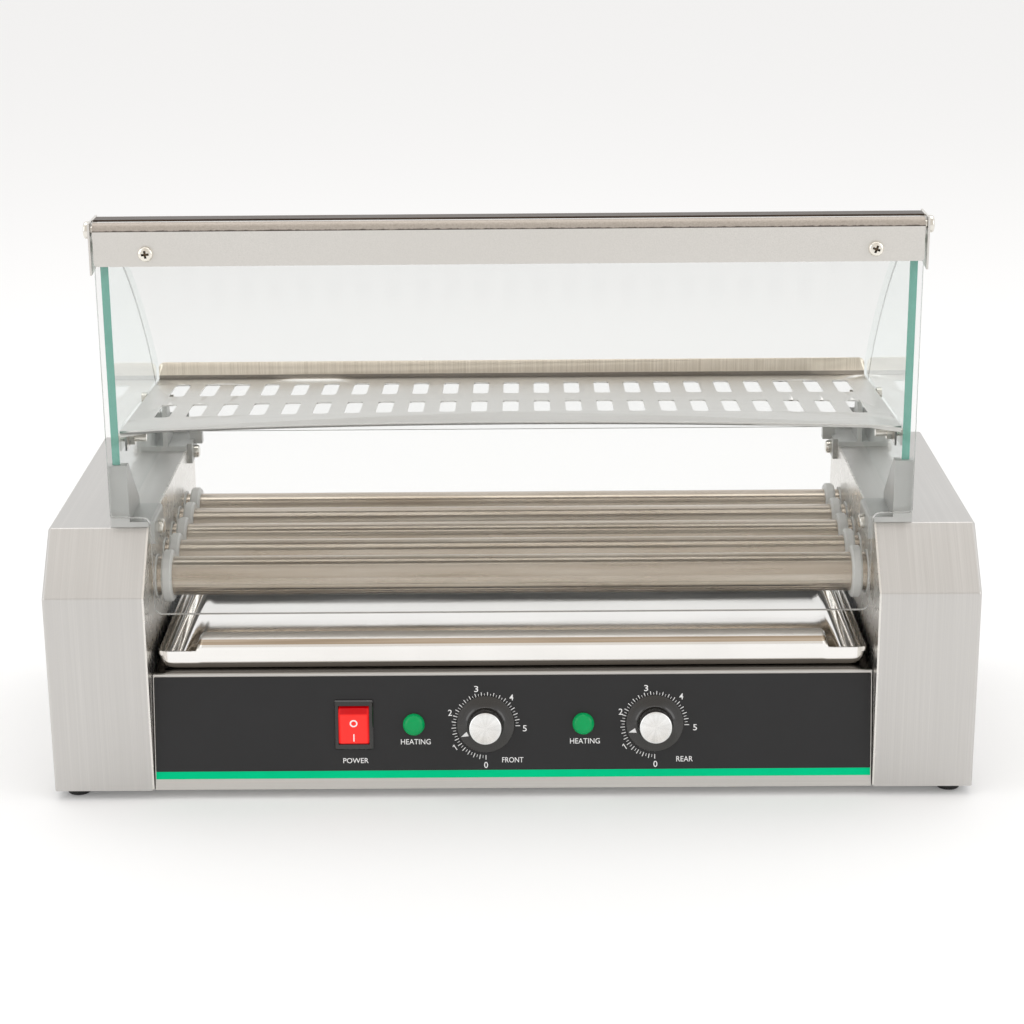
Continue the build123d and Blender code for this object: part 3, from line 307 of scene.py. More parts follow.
def roller_mat(name):
    """Polished tube, turned all round, so reflections smear along it; a warm tan-brown drifts along it in the base
    colour, a painted reflection of the warm surroundings with some heat tint.
    """
    m, nt, out = new_mat(name)
    rings = noise(nt, coords(nt, (3200, 6, 6)), 1.0, 2.0)
    tint = noise(nt, coords(nt, (7, 120, 120)), 1.0, 4.0, 0.6)
    b = bsdf(nt, out, Metallic=1.0)
    # base colour tan to brown: painted reflection of the warm surroundings, with some heat tint
    L(nt, ramp(nt, tint, [(0.30, (0.62, 0.555, 0.475)), (0.52, (0.54, 0.465, 0.38)), (0.72, (0.42, 0.345, 0.265))]), b.inputs["Base Color"])
    L(nt, vramp(nt, tint, 0.22, 0.30, 0.3, 0.7), b.inputs["Roughness"])
    b.inputs["Anisotropic"].default_value = 0.95
    along = N(nt, "CombineXYZ")
    along.inputs["X"].default_value = 1.0
    L(nt, along.outputs[0], b.inputs["Tangent"])
    L(nt, bump(nt, rings, 0.12, 0.00002), b.inputs["Normal"])
    return m

def bracket_mat(name):
    """Extruded aluminium with a satin coat: faint die lines up the section, fine grain."""
    m, nt, out = new_mat(name)
    die = noise(nt, coords(nt, (1500, 60, 12)), 1.0, 2.0)
    soft = noise(nt, coords(nt), 40.0, 3.0)
    b = bsdf(nt, out, Metallic=0.55)
    L(nt, ramp(nt, soft, [(0.3, (0.47, 0.475, 0.46)), (0.7, (0.52, 0.525, 0.51))]), b.inputs["Base Color"])
    L(nt, vramp(nt, die, 0.36, 0.46, 0.3, 0.7), b.inputs["Roughness"])
    L(nt, bump(nt, die, 0.15, 0.00003), b.inputs["Normal"])
    return m

def tray_mat():
    """Polished pan; the grip is hand-worn to satin and its sloping strip is painted warm tan, a painted reflection."""
    m, nt, out = new_mat("tray_polish")
    cloud = noise(nt, coords(nt), 14.0, 4.0)
    smear = noise(nt, coords(nt, (6, 90, 90)), 1.0, 3.0)
    streak = noise(nt, coords(nt, (5, 260, 260)), 1.0, 4.0)
    b = bsdf(nt, out, Metallic=1.0)
    z, y = position(nt, "Z"), position(nt, "Y")
    front = compare(nt, y, "LESS_THAN", -0.0805)
    def both(p, q):
        mm = N(nt, "Math", operation="MULTIPLY")
        L(nt, p, mm.inputs[0]); L(nt, q, mm.inputs[1])
        return mm.outputs[0]
    grip = both(front, compare(nt, z, "GREATER_THAN", 0.0974))
    # strip: the sloping strip of the grip, painted warm tan as a painted reflection
    strip = both(both(compare(nt, y, "LESS_THAN", -0.0935), compare(nt, z, "GREATER_THAN", 0.0948)), compare(nt, z, "LESS_THAN", 0.0976))
    base = ramp(nt, cloud, [(0.35, (0.89, 0.875, 0.85)), (0.7, (0.84, 0.825, 0.80))])
    # warm: the tan-brown colours of that painted reflection
    warm = ramp(nt, streak, [(0.32, (0.40, 0.32, 0.235)), (0.5, (0.55, 0.46, 0.36)), (0.68, (0.66, 0.58, 0.48))])
    L(nt, mixc(nt, strip, base, warm), b.inputs["Base Color"])
    r1 = vramp(nt, smear, 0.05, 0.10, 0.3, 0.7)
    L(nt, mixf(nt, grip, r1, 0.58), b.inputs["Roughness"])
    L(nt, bump(nt, cloud, 0.04, 0.001), b.inputs["Normal"])
    return m

STEEL = (0.60, 0.585, 0.565)
M = {
    "brushed_steel": brushed("brushed_steel_grain", STEEL),
    "brushed_x": brushed("brushed_steel_long", (0.60, 0.585, 0.56), grain="x"),
    "wall_steel": polished("wall_steel_polish", (0.80, 0.775, 0.735), (0.24, 0.32), wave=0.03),
    # deck: base colour near black, painted shade and dark reflection of the tray's underside above it
    "deck_steel": polished("deck_steel_painted_shade", (0.10, 0.09, 0.08), (0.16, 0.26), wave=0.04),
    "zinc_steel": polished("zinc_plate", (0.50, 0.50, 0.49), (0.32, 0.46), wave=0.10),
    "roller_steel": roller_mat("roller_polish"),
    "tray_steel": tray_mat(),
    "screw_steel": polished("screw_polish", (0.78, 0.75, 0.69), (0.12, 0.22)),
    "bracket_alu": bracket_mat("bracket_satin"),
    "black_overlay": plastic("overlay_satin", (0.0105, 0.0105, 0.0115), rough=0.40, grain=0.12, grain_scale=2400.0, vary=0.08, spec=0.42),
    "green_stripe": plastic("stripe_print", (0.0008, 0.56, 0.245), rough=0.55, vary=0.04, spec=0.03),
    "white_print": plastic("white_print", (0.86, 0.86, 0.86), rough=0.5, vary=0.03),
    "black_plastic": plastic("black_gloss", (0.012, 0.011, 0.010), rough=0.16, vary=0.15, coat=0.4),
    "red_lens": plastic("red_lens", (0.80, 0.022, 0.012), rough=0.16, vary=0.06, coat=0.5, emit=0.45),
    "green_lens": plastic("green_lens", (0.0005, 0.31, 0.088), rough=0.14, vary=0.14, spec=0.25, emit=0.10),
    "knob_cap": polished("knob_cap_spun", (0.86, 0.86, 0.86), (0.16, 0.26)),
    "white_ptfe": plastic("white_ptfe", (0.70, 0.70, 0.68), rough=0.42, grain=0.08, vary=0.04),
    "rubber": plastic("rubber", (0.018, 0.018, 0.018), rough=0.75, grain=0.4, grain_scale=1500.0),
    # side glass: the green edges are the glass's own colour; their slight glow (emit 0.10) is painted light
    "clear_glass": edged("side_glass", (0.962, 0.978, 0.972), [("p", "Y", "LESS_THAN", -0.0835)], (0.135, 0.40, 0.32), emit=0.10),
    "clear_sheet": edged("clear_sheet_rear", (0.970, 0.972, 0.970), [("n", "X", "GREATER_THAN", 0.6), ("p", "Z", "LESS_THAN", 0.1753)], (0.30, 0.30, 0.29), trans=0.0, smear=0.0, ior=1.12),
    "front_clear": edged("clear_sheet_front", (0.950, 0.952, 0.950), [("n", "Y", "LESS_THAN", 0.6)], (0.62, 0.62, 0.60), trans=0.3),
    "cream_plastic": plastic("cream_moulding", (0.62, 0.58, 0.48), rough=0.5, grain=0.1),
}
USE = {"bun_shelf": "brushed_x", "flap_plate": "brushed_x", "hood_channel": "brushed_x", "control_panel": "brushed_x", "tray_deck": "deck_steel", "front_sheet": "front_clear"}
SLOT_OF = {s["node"]: s["material_slot"] for s in frame["record"]["subparts"]}
for n, o in NODES.items():
    mat = M[USE.get(n, SLOT_OF[n])]
    for i in range(max(1, len(o.material_slots))):
        if i < len(o.material_slots):
            o.material_slots[i].material = mat
        else:
            o.data.materials.append(mat)

# ------------------------------------------------------------------ mesh helpers
def add_obj(name, verts, faces, mat, body, replaces=(), smooth=30.0, mats=None, fmat=None):
    me = bpy.data.meshes.new(name)
    me.from_pydata([Vector(v) * MM for v in verts], [], faces)
    me.validate()
    ob = bpy.data.objects.new(name, me)
    SCENE.collection.objects.link(ob)
    return finish_obj(ob, mat, body, replaces, smooth, mats, fmat)

def finish_obj(ob, mat, body, replaces=(), smooth=30.0, mats=None, fmat=None):
    me = ob.data
    bm = bmesh.new()
    bm.from_mesh(me)
    bmesh.ops.remove_doubles(bm, verts=bm.verts, dist=1e-6)
    bmesh.ops.recalc_face_normals(bm, faces=bm.faces)
    bm.to_mesh(me)
    bm.free()
    if smooth is not None:
        for p in me.polygons:
            p.use_smooth = True
        me.set_sharp_from_angle(angle=math.radians(smooth))
    me.materials.clear()
    me.materials.append(mat)
    for extra in (mats or []):
        me.materials.append(extra)
    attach(ob, body)
    if replaces:
        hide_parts(*replaces)
    return ob

def baked(ob):
    """The object's mesh with its modifiers applied."""
    dg = bpy.context.evaluated_depsgraph_get()
    dg.update()
    me = bpy.data.meshes.new_from_object(ob.evaluated_get(dg))
    ob.modifiers.clear()
    ob.data = me
    return ob

def lathe(profile, n=64, ang0=0.0):
    """Turned shape from (radius, height) points, about local +Z. Closed at r=0 ends."""
    verts, faces = [], []
    rings = []
    for r, h in profile:
        if r < 1e-6:
            rings.append([len(verts)])
            verts.append((0, 0, h))
        else:
            ring = []
            for i in range(n):
                a = ang0 + 2 * math.pi * i / n
                ring.append(len(verts))
                verts.append((r * math.cos(a), r * math.sin(a), h))
            rings.append(ring)
    for a, b in zip(rings, rings[1:]):
        if len(a) == 1 and len(b) == 1:
            continue
        for i in range(n):
            j = (i + 1) % n
            if len(a) == 1:
                faces.append((a[0], b[i], b[j]))
            elif len(b) == 1:
                faces.append((a[i], a[j], b[0]))
            else:
                faces.append((a[i], a[j], b[j], b[i]))
    return verts, faces

def placed(verts, mat4):
    return [tuple(mat4 @ Vector(v)) for v in verts]

Y0 = -122.5
TILT = math.atan2(13.6, 73.0)
PE = Vector((0, math.sin(TILT), math.cos(TILT)))      # up the panel
PN = Vector((0, -math.cos(TILT), math.sin(TILT)))     # out of the panel
def panel_m(x, s, h):
    """Matrix of a spot on the control panel in mm: local X right, Y up the panel, Z out of it."""
    o = Vector((x, Y0 + 1.0, 6.0)) + PE * s + PN * h
    return Matrix.Translation(o) @ Matrix(((1, 0, 0), tuple(PE), tuple(PN))).transposed().to_4x4()
def axis_m(origin, z_dir, x_dir=(1, 0, 0)):
    z = Vector(z_dir).normalized()
    x = Vector(x_dir)
    x = (x - z * x.dot(z)).normalized()
    y = z.cross(x)
    return Matrix.Translation(origin) @ Matrix((x, y, z)).transposed().to_4x4()

# ------------------------------------------------------------------ panel lettering
def word(text, x, s, width, height, h=0.62, thick=0.06, weight=0.0, turn=0.0):
    cu = bpy.data.curves.new("t", "FONT")
    cu.body = text
    cu.size = 1.0
    cu.extrude = 0.01
    cu.offset = weight
    cu.resolution_u = 4
    ob = bpy.data.objects.new("t", cu)
    SCENE.collection.objects.link(ob)
    bpy.context.view_layer.update()
    me = bpy.data.meshes.new_from_object(ob.evaluated_get(bpy.context.evaluated_depsgraph_get()))
    xs = [v.co.x for v in me.vertices]; ys = [v.co.y for v in me.vertices]; zs = [v.co.z for v in me.vertices]
    sx = width / (max(xs) - min(xs)); sy = height / (max(ys) - min(ys))
    cx, cy = (max(xs) + min(xs)) / 2, (max(ys) + min(ys)) / 2
    m = panel_m(x, s, h) @ Matrix.Rotation(math.radians(turn), 4, "Z")
    verts = [tuple(m @ Vector(((v.co.x - cx) * sx, (v.co.y - cy) * sy, (v.co.z / 0.01 + 1) * thick / 2))) for v in me.vertices]
    faces = [tuple(p.vertices) for p in me.polygons]
    bpy.data.objects.remove(ob)
    bpy.data.curves.remove(cu)
    bpy.data.meshes.remove(me)
    return verts, faces

def merge(parts):
    verts, faces = [], []
    for v, f in parts:
        o = len(verts)
        verts += v
        faces += [tuple(i + o for i in q) for q in f]
    return verts, faces

def box_at(m, sx, sy, sz, z0=0.0):
    v = [(-sx/2, -sy/2, z0), (sx/2, -sy/2, z0), (sx/2, sy/2, z0), (-sx/2, sy/2, z0),
         (-sx/2, -sy/2, z0+sz), (sx/2, -sy/2, z0+sz), (sx/2, sy/2, z0+sz), (-sx/2, sy/2, z0+sz)]
    return placed(v, m), [(0,3,2,1),(4,5,6,7),(0,1,5,4),(1,2,6,5),(2,3,7,6),(3,0,4,7)]

KNOB_X = (-16.9, 89.6)
REST = (63.0, 71.0)
FIG = {0: [(-16.9, 15.1), (90.0, 15.1)], 1: [(-36.4, 26.4), (70.6, 26.4)], 2: [(-39.3, 48.8), (68.2, 48.8)],
       3: [(-22.7, 63.9), (84.2, 63.8)], 4: [(-0.6, 58.4), (106.3, 58.4)], 5: [(7.7, 38.5), (115.0, 38.5)]}
DIAL_C = 40.2
def lettering():
    parts = [
        word("POWER", -99.1, 18.4, 16.0, 3.3),
        word("HEATING", -61.1, 30.3, 18.8, 3.4),
        word("HEATING", 45.6, 30.2, 18.8, 3.4),
        word("FRONT", 0.0, 18.3, 13.4, 3.4),
        word("REAR", 108.4, 18.3, 10.4, 3.4),
    ]
    for fig, spots in FIG.items():
        for x, s in spots:
            if fig == 1:
                m1 = panel_m(x, s, 0.62) @ Matrix.Rotation(math.radians(33.0), 4, "Z")
                parts.append(box_at(m1 @ Matrix.Translation((0.25, 0.0, 0.0)), 0.52, 3.9, 0.06))
                parts.append(box_at(m1 @ Matrix.Translation((-0.36, 1.42, 0.0)) @ Matrix.Rotation(math.radians(38.0), 4, "Z"), 1.35, 0.46, 0.06))
            else:
                parts.append(word(str(fig), x, s, 2.5, 3.9, weight=0.004))
    for kx in KNOB_X:
        for i in range(51):
            a = math.radians(-90.0 - i * 5.4)
            long = i % 2 == 0
            r0, r1 = (18.75, 21.65) if long else (19.0, 20.8)
            w = 0.46 if long else 0.30
            r = (r0 + r1) / 2
            m = panel_m(kx + r * math.cos(a), DIAL_C + r * math.sin(a), 0.62) @ Matrix.Rotation(a, 4, "Z")
            parts.append(box_at(m, r1 - r0, w, 0.05))
    v, f = merge(parts)
    add_obj("panel_lettering", v, f, M["white_print"], "frame", ("dial_marks",), smooth=None)
lettering()

# ------------------------------------------------------------------ knobs
def knob(i, kx, rest):
    tag = ("front", "rear")[i]
    body = "knob_" + tag
    m = panel_m(kx, 41.5, 0.0)
    # flared skirt: narrow rim, gently dished slope, step up to the hub
    prof = [(0, 1.0), (17.9, 1.0), (18.25, 1.3), (18.25, 1.9), (18.0, 2.25), (17.4, 2.45), (15.5, 2.75), (13.6, 3.25), (12.2, 3.95),
            (11.5, 4.5), (11.3, 4.75), (11.1, 4.6), (10.9, 4.65), (10.75, 5.2), (10.65, 6.0), (10.45, 10.0), (10.3, 14.2), (10.1, 14.6), (9.7, 14.8), (0, 14.8)]
    v, f = lathe(prof, 96)
    # grip: shallow flutes round the hub
    vv = []
    for x, y, z in v:
        r = math.hypot(x, y)
        if 10.2 < r < 10.72 and 5.0 < z < 14.4:
            a = math.atan2(y, x)
            k = 1.0 - 0.010 * (0.5 + 0.5 * math.cos(a * 48))
            x, y = x * k, y * k
        vv.append((x, y, z))
    # spindle down into the control
    sp = lathe([(0, -16.0), (2.6, -16.0), (3.0, -15.6), (3.0, 1.0), (0, 1.0)], 32)
    v, f = merge([(vv, f), sp])
    sk = add_obj("knob_%s_body" % tag, placed(v, m), f, M["knob_black"], body, ("knob_%s_skirt" % tag,), smooth=35)
    # silver cap: turned disc with a bright chamfer
    cap = lathe([(0, 14.3), (9.9, 14.3), (10.1, 14.5), (10.1, 15.2), (9.95, 15.6), (9.5, 15.92), (9.25, 15.98), (9.05, 15.9), (4.0, 15.94), (0, 15.95)], 128)
    add_obj("knob_%s_disc" % tag, placed(cap[0], m), cap[1], spun_mat(body, m), body, ("knob_%s_cap" % tag,), smooth=25)
    # pointer moulded on the slope, filled white
    a = math.radians(-90.0 - rest)
    r0, r1 = 12.7, 17.3
    def at(r, t, h):
        c, s_ = math.cos(a), math.sin(a)
        z = 2.45 + (17.4 - r) * 0.19 + max(0.0, 13.6 - r) * 0.25 if r < 17.4 else 2.45
        return (r * c - t * s_, r * s_ + t * c, z + h)
    low = [at(r0, -1.55, -0.3), at(r1, 0, -0.3), at(r0, 1.55, -0.3)]
    mid = [at(r0, -1.55, 0.22), at(r1, 0, 0.22), at(r0, 1.55, 0.22)]
    top = [at(r0 + 0.2, -1.3, 0.32), at(r1 - 0.5, 0, 0.32), at(r0 + 0.2, 1.3, 0.32)]
    v = placed(low + mid + top, m)
    f = [(0, 2, 1), (0, 1, 4, 3), (1, 2, 5, 4), (2, 0, 3, 5), (3, 4, 7, 6), (4, 5, 8, 7), (5, 3, 6, 8), (6, 7, 8)]
    add_obj("knob_%s_pointer" % tag, v, f, M["white_print"], body, (), smooth=None)

def spun_mat(name, m):
    """Spun aluminium: fine rings about the knob's own axis and soft radial glints painted into the base colour."""
    mt, nt, out = new_mat(name + "_spun_disc")
    tc = N(nt, "TexCoord")
    mp = N(nt, "Mapping", vector_type="TEXTURE")
    o = m.to_translation() * MM
    e = m.to_euler("XYZ")
    mp.inputs["Location"].default_value = o
    mp.inputs["Rotation"].default_value = e
    L(nt, tc.outputs["Object"], mp.inputs["Vector"])
    sep = N(nt, "SeparateXYZ")
    L(nt, mp.outputs["Vector"], sep.inputs[0])
    at2 = N(nt, "Math", operation="ARCTAN2")
    L(nt, sep.outputs["Y"], at2.inputs[0]); L(nt, sep.outputs["X"], at2.inputs[1])
    ln = N(nt, "VectorMath", operation="LENGTH")
    flat = N(nt, "CombineXYZ")
    L(nt, sep.outputs["X"], flat.inputs["X"]); L(nt, sep.outputs["Y"], flat.inputs["Y"])
    L(nt, flat.outputs[0], ln.inputs[0])
    # painted glints in the base colour that spread from the centre: slow noise over the angle, taken round a circle so
    # that it closes
    cs = N(nt, "Math", operation="COSINE"); sn = N(nt, "Math", operation="SINE")
    L(nt, at2.outputs[0], cs.inputs[0]); L(nt, at2.outputs[0], sn.inputs[0])
    circ = N(nt, "CombineXYZ")
    L(nt, cs.outputs[0], circ.inputs["X"]); L(nt, sn.outputs[0], circ.inputs["Y"])
    g = noise(nt, circ.outputs[0], 2.4, 2.0)
    rings = N(nt, "TexNoise")
    rings.noise_dimensions = "1D"
    rings.inputs["Scale"].default_value = 9000.0
    L(nt, ln.outputs["Value"], rings.inputs["W"])
    b = bsdf(nt, out, Metallic=1.0)
    L(nt, ramp(nt, g, [(0.34, (0.76, 0.76, 0.75)), (0.5, (0.84, 0.84, 0.83)), (0.66, (0.90, 0.90, 0.89))]), b.inputs["Base Color"])
    L(nt, vramp(nt, rings.outputs["Fac"], 0.24, 0.36, 0.3, 0.7), b.inputs["Roughness"])
    L(nt, bump(nt, rings.outputs["Fac"], 0.25, 0.00003), b.inputs["Normal"])
    return mt

M["knob_black"] = plastic("knob_black_gloss", (0.016, 0.014, 0.012), rough=0.20, vary=0.2, coat=0.5, grain=0.03, grain_scale=600.0)
for i in range(2):
    knob(i, KNOB_X[i], REST[i])

# ------------------------------------------------------------------ rocker
def rocker():
    m0 = panel_m(-100.0, 41.5, -1.0)
    rot = Matrix.Rotation(math.radians(7.0), 4, "X")
    # side profile (up the panel, out of it): broad face, crease, short recessed end
    face = [(-11.5, -1.5), (-11.6, 3.9), (-11.4, 4.35), (-10.9, 4.6)]
    for k in range(9):
        t = k / 8
        s = -10.4 + t * 17.1
        face.append((s, 4.65 - 0.75 * math.sin(math.pi * t) * 0.6 + 0.15 * t))
    face += [(7.3, 4.8), (7.8, 4.5), (8.3, 4.0), (10.6, 2.1), (11.2, 1.45), (11.5, 0.9), (11.5, -1.5), (4.0, -9.5), (-4.0, -9.5)]
    w = 9.5
    verts, faces = [], []
    xs = [(-w, 0.5), (-w + 0.12, 0.22), (-w + 0.5, 0.0), (0.0, 0.0), (w - 0.5, 0.0), (w - 0.12, 0.22), (w, 0.5)]
    n = len(face)
    cs, cn = 0.0, -1.0
    for x, inset in xs:
        for s, h in face:
            d = math.hypot(s - cs, h - cn)
            k = 1 - inset / max(d, 1)
            verts.append((x, cs + (s - cs) * k, cn + (h - cn) * k))
    for i in range(len(xs) - 1):
        for j in range(n):
            a, b = i * n + j, i * n + (j + 1) % n
            faces.append((a, b, b + n, a + n))
    faces.append(tuple(range(n)))
    faces.append(tuple(reversed(range((len(xs) - 1) * n, len(xs) * n))))
    mm = m0 @ rot
    add_obj("rocker_body", placed(verts, mm), faces, M["rocker_red"], "rocker", ("power_rocker",), smooth=30)
    # white ring and bar on the broad face
    def face_h(s):
        t = max(0.0, min(1.0, (s + 10.4) / 17.1))
        return 4.65 - 0.75 * math.sin(math.pi * t) * 0.6 + 0.15 * t
    parts = []
    ring_v, ring_f = [], []
    n = 40
    for k, (r, z) in enumerate(((1.5, 0.02), (1.5, 0.10), (2.35, 0.10), (2.35, 0.02))):
        for i in range(n):
            a = 2 * math.pi * i / n
            s = 1.9 + r * 1.02 * math.sin(a)
            ring_v.append((r * 1.05 * math.cos(a), s, face_h(s) + z))
    for k in range(4):
        for i in range(n):
            j = (i + 1) % n
            ring_f.append((k * n + i, k * n + j, ((k + 1) % 4) * n + j, ((k + 1) % 4) * n + i))
    parts.append((ring_v, ring_f))
    bv, bf = [], []
    ss = [-9.9 + k * 0.95 for k in range(6)]
    for s in ss:
        for x, z in ((-0.36, 0.02), (0.36, 0.02), (0.36, 0.10), (-0.36, 0.10)):
            bv.append((x, s, face_h(s) + z))
    for k in range(5):
        for j in range(4):
            a, b = k * 4 + j, k * 4 + (j + 1) % 4
            bf.append((a, b, b + 4, a + 4))
    bf.append((0, 1, 2, 3)); bf.append((20, 23, 22, 21))
    parts.append((bv, bf))
    v, f = merge(parts)
    add_obj("rocker_marks", placed(v, mm), f, M["white_print"], "rocker", (), smooth=None)

def rocker_mat():
    """Lit translucent red: glows across the broad face, deeper at the recessed end."""
    m, nt, out = new_mat("rocker_red")
    b = bsdf(nt, out)
    n1 = noise(nt, coords(nt), 120.0, 3.0)
    tc = N(nt, "TexCoord")
    sep = N(nt, "SeparateXYZ")
    L(nt, tc.outputs["Object"], sep.inputs[0])
    z = vramp(nt, sep.outputs["Z"], 1.0, 0.0, 0.0541, 0.0552)
    xx = N(nt, "Math", operation="ADD"); xx.inputs[1].default_value = 0.100
    L(nt, sep.outputs["X"], xx.inputs[0])
    ax = N(nt, "Math", operation="ABSOLUTE"); L(nt, xx.outputs[0], ax.inputs[0])
    side = vramp(nt, ax.outputs[0], 0.0, 1.0, 0.0078, 0.0092)
    base = mixc(nt, z, (0.40, 0.0, 0.002), (0.72, 0.014, 0.010))
    base2 = mixc(nt, side, base, (0.50, 0.002, 0.002))
    L(nt, base2, b.inputs["Base Color"])
    em = mixc(nt, z, (0.36, 0.0, 0.002), (0.80, 0.040, 0.034))
    em2 = mixc(nt, side, em, (0.50, 0.004, 0.004))
    L(nt, em2, b.inputs["Emission Color"])
    b.inputs["Emission Strength"].default_value = 0.55
    L(nt, vramp(nt, n1, 0.14, 0.22, 0.3, 0.7), b.inputs["Roughness"])
    b.inputs["Specular IOR Level"].default_value = 0.25
    return m
M["rocker_red"] = rocker_mat()
rocker()

# ------------------------------------------------------------------ drip tray
def tray():
    zf = 79.3
    # pan: sheet rings from the floor out to the stepped rim (half width, height), front and back follow their own offsets
    side = [(203.0, zf + 0.45), (207.0, zf + 0.5), (209.4, zf + 1.1), (211.6, zf + 2.6), (213.4, zf + 5.0), (214.9, zf + 8.0), (216.0, zf + 10.2),
            (216.8, zf + 11.2), (217.8, zf + 11.55), (218.7, zf + 11.3), (219.3, zf + 10.75), (219.9, zf + 11.3), (220.8, zf + 11.6), (222.2, zf + 11.6),
            (223.1, zf + 11.3), (223.6, zf + 10.7), (223.7, zf + 9.4), (223.6, zf + 8.4)]
    w0 = side[0][0]
    y_front, y_back = 25.8, 228.0
    verts, faces = [], []
    rings = []
    cseg = 8
    for k, (w, z) in enumerate(side):
        o = w - w0                                  # 0 at the floor's edge, 20.7 at the outer edge
        yb = 208.0 + o                              # back side flares like the ends
        yf = y_front + 6.0 - min(o, 6.0)            # front side stands up at once
        rb = 6.0 + o * 0.35
        rf = 2.5
        ring = []
        def corner(cx, cy, r, a0):
            for j in range(cseg + 1):
                a = math.radians(a0 + 90.0 * j / cseg)
                ring.append((cx + r * math.cos(a), cy + r * math.sin(a)))
        corner(w - rb, yb - rb, rb, 0)
        corner(-w + rb, yb - rb, rb, 90)
        corner(-w + rf, yf + rf, rf, 180)
        corner(w - rf, yf + rf, rf, 270)
        idx = []
        for x, y in ring:
            zz = min(z, zf + 11.0) if y < y_front + 4 else z
            idx.append(len(verts))
            verts.append((x, y + Y0, zz))
        rings.append(idx)
    n = len(rings[0])
    faces.append(tuple(rings[0]))
    for a, b in zip(rings, rings[1:]):
        for i in range(n):
            j = (i + 1) % n
            faces.append((a[i], a[j], b[j], b[i]))
    pan = bpy.data.meshes.new("p")
    pan.from_pydata([Vector(v) * MM for v in verts], [], faces)
    # front plate with rounded lower corners, its middle raised and folded back as a grip
    cols = []
    x = -223.9
    xs = []
    def stretch(a, b, k):
        return [a + (b - a) * i / k for i in range(k)]
    half = stretch(223.9, 213.0, 14) + stretch(213.0, 204.0, 5) + stretch(204.0, 192.0, 16) + stretch(192.0, 0.0, 10)
    xs = [-v for v in half] + [0.0] + [v for v in reversed(half)]
    def smooth(t):
        t = max(0.0, min(1.0, t))
        return t * t * (3 - 2 * t)
    pv, pf = [], []
    rows = None
    for x in xs:
        ax = abs(x)
        zl = zf
        if ax > 213.0:
            zl = zf + 11.0 - math.sqrt(max(0.0, 121.0 - (ax - 213.0) ** 2))
        yplan = 25.0
        if ax > 217.5:
            d = ax - 217.5
            yplan = 25.0 + 6.5 - math.sqrt(max(0.0, 42.25 - d * d))
        lift = smooth((200.0 - ax) / 4.5)
        zt = zf + 11.3 + 3.9 * lift + 0.25 * math.exp(-((ax - 200.5) / 1.2) ** 2)
        col = []
        for k in range(5):                                    # curved foot
            a = math.radians(90.0 * k / 4)
            rr = min(1.6, (zt - zl) * 0.45)
            col.append((yplan + rr * (1 - math.sin(a)), zl + rr * (1 - math.cos(a))))
        rr = min(1.6, (zt - zl) * 0.45)
        for k in range(1, 5):
            col.append((yplan, zl + rr + (zt - zl - rr) * k / 4))
        # grip: sloping strip, flat strip, short return; it shrinks to nothing past its ends
        g = smooth((199.6 - ax) / 1.6)
        for dy, dz in ((0.35, 0.55), (2.9, 3.1), (3.4, 3.45), (4.2, 3.65), (8.0, 3.9), (12.6, 4.05), (13.2, 3.8), (13.45, 3.1), (13.45, 1.6)):
            col.append((yplan + 0.0 + dy * g, zt + dz * g))
        if rows is None:
            rows = len(col)
        base = len(pv)
        for y, z in col:
            pv.append((x, y + Y0, z))
    for i in range(len(xs) - 1):
        for j in range(rows - 1):
            a, b = i * rows + j, (i + 1) * rows + j
            pf.append((a, b, b + 1, a + 1))
    v, f = merge([([tuple(q) for q in verts], faces), (pv, pf)])
    ob = add_obj("tray_body", v, f, M["tray_steel"], "tray", ("drip_tray",), smooth=28)
    md = ob.modifiers.new("sheet", "SOLIDIFY")
    md.thickness = 0.7 * MM
    md.offset = 0.0
    baked(ob)
    for p in ob.data.polygons:
        p.use_smooth = True
    ob.data.set_sharp_from_angle(angle=math.radians(32))
tray()

# ------------------------------------------------------------------ bun shelf
def shelf():
    src = NODES["bun_shelf"]
    bm = bmesh.new()
    bm.from_mesh(src.data)
    bmesh.ops.remove_doubles(bm, verts=bm.verts, dist=1e-6)
    for i in range(1, 25):
        x = (-242.0 + i * 484.0 / 25) * MM
        g = list(bm.verts) + list(bm.edges) + list(bm.faces)
        bmesh.ops.bisect_plane(bm, geom=g, dist=1e-7, plane_co=(x, 0, 0), plane_no=(1, 0, 0))
    bmesh.ops.triangulate(bm, faces=bm.faces[:])
    ly = 204.5 - 39.0
    for v in bm.verts:
        x, y, z = v.co / MM
        d = (y - Y0 - 39.0) / ly
        if abs(x) < 240.2:
            # the turned front edge is a narrow one
            plane = 231.2 - d * 8.6
            if d < 0.02 and z < plane - 1.6:
                z = plane - 1.9
            if d < 0.995 or z < 223.0:
                z += 4.6 * max(0.0, 1 - (x / 242.0) ** 2) * max(0.0, 1 - d) ** 1.6
        v.co.z = z * MM
    me = bpy.data.meshes.new("shelf_sheet")
    bm.to_mesh(me)
    bm.free()
    ob = bpy.data.objects.new("shelf_sheet", me)
    SCENE.collection.objects.link(ob)
    finish_obj(ob, M["shelf_steel"], "frame", ("bun_shelf",), smooth=30)
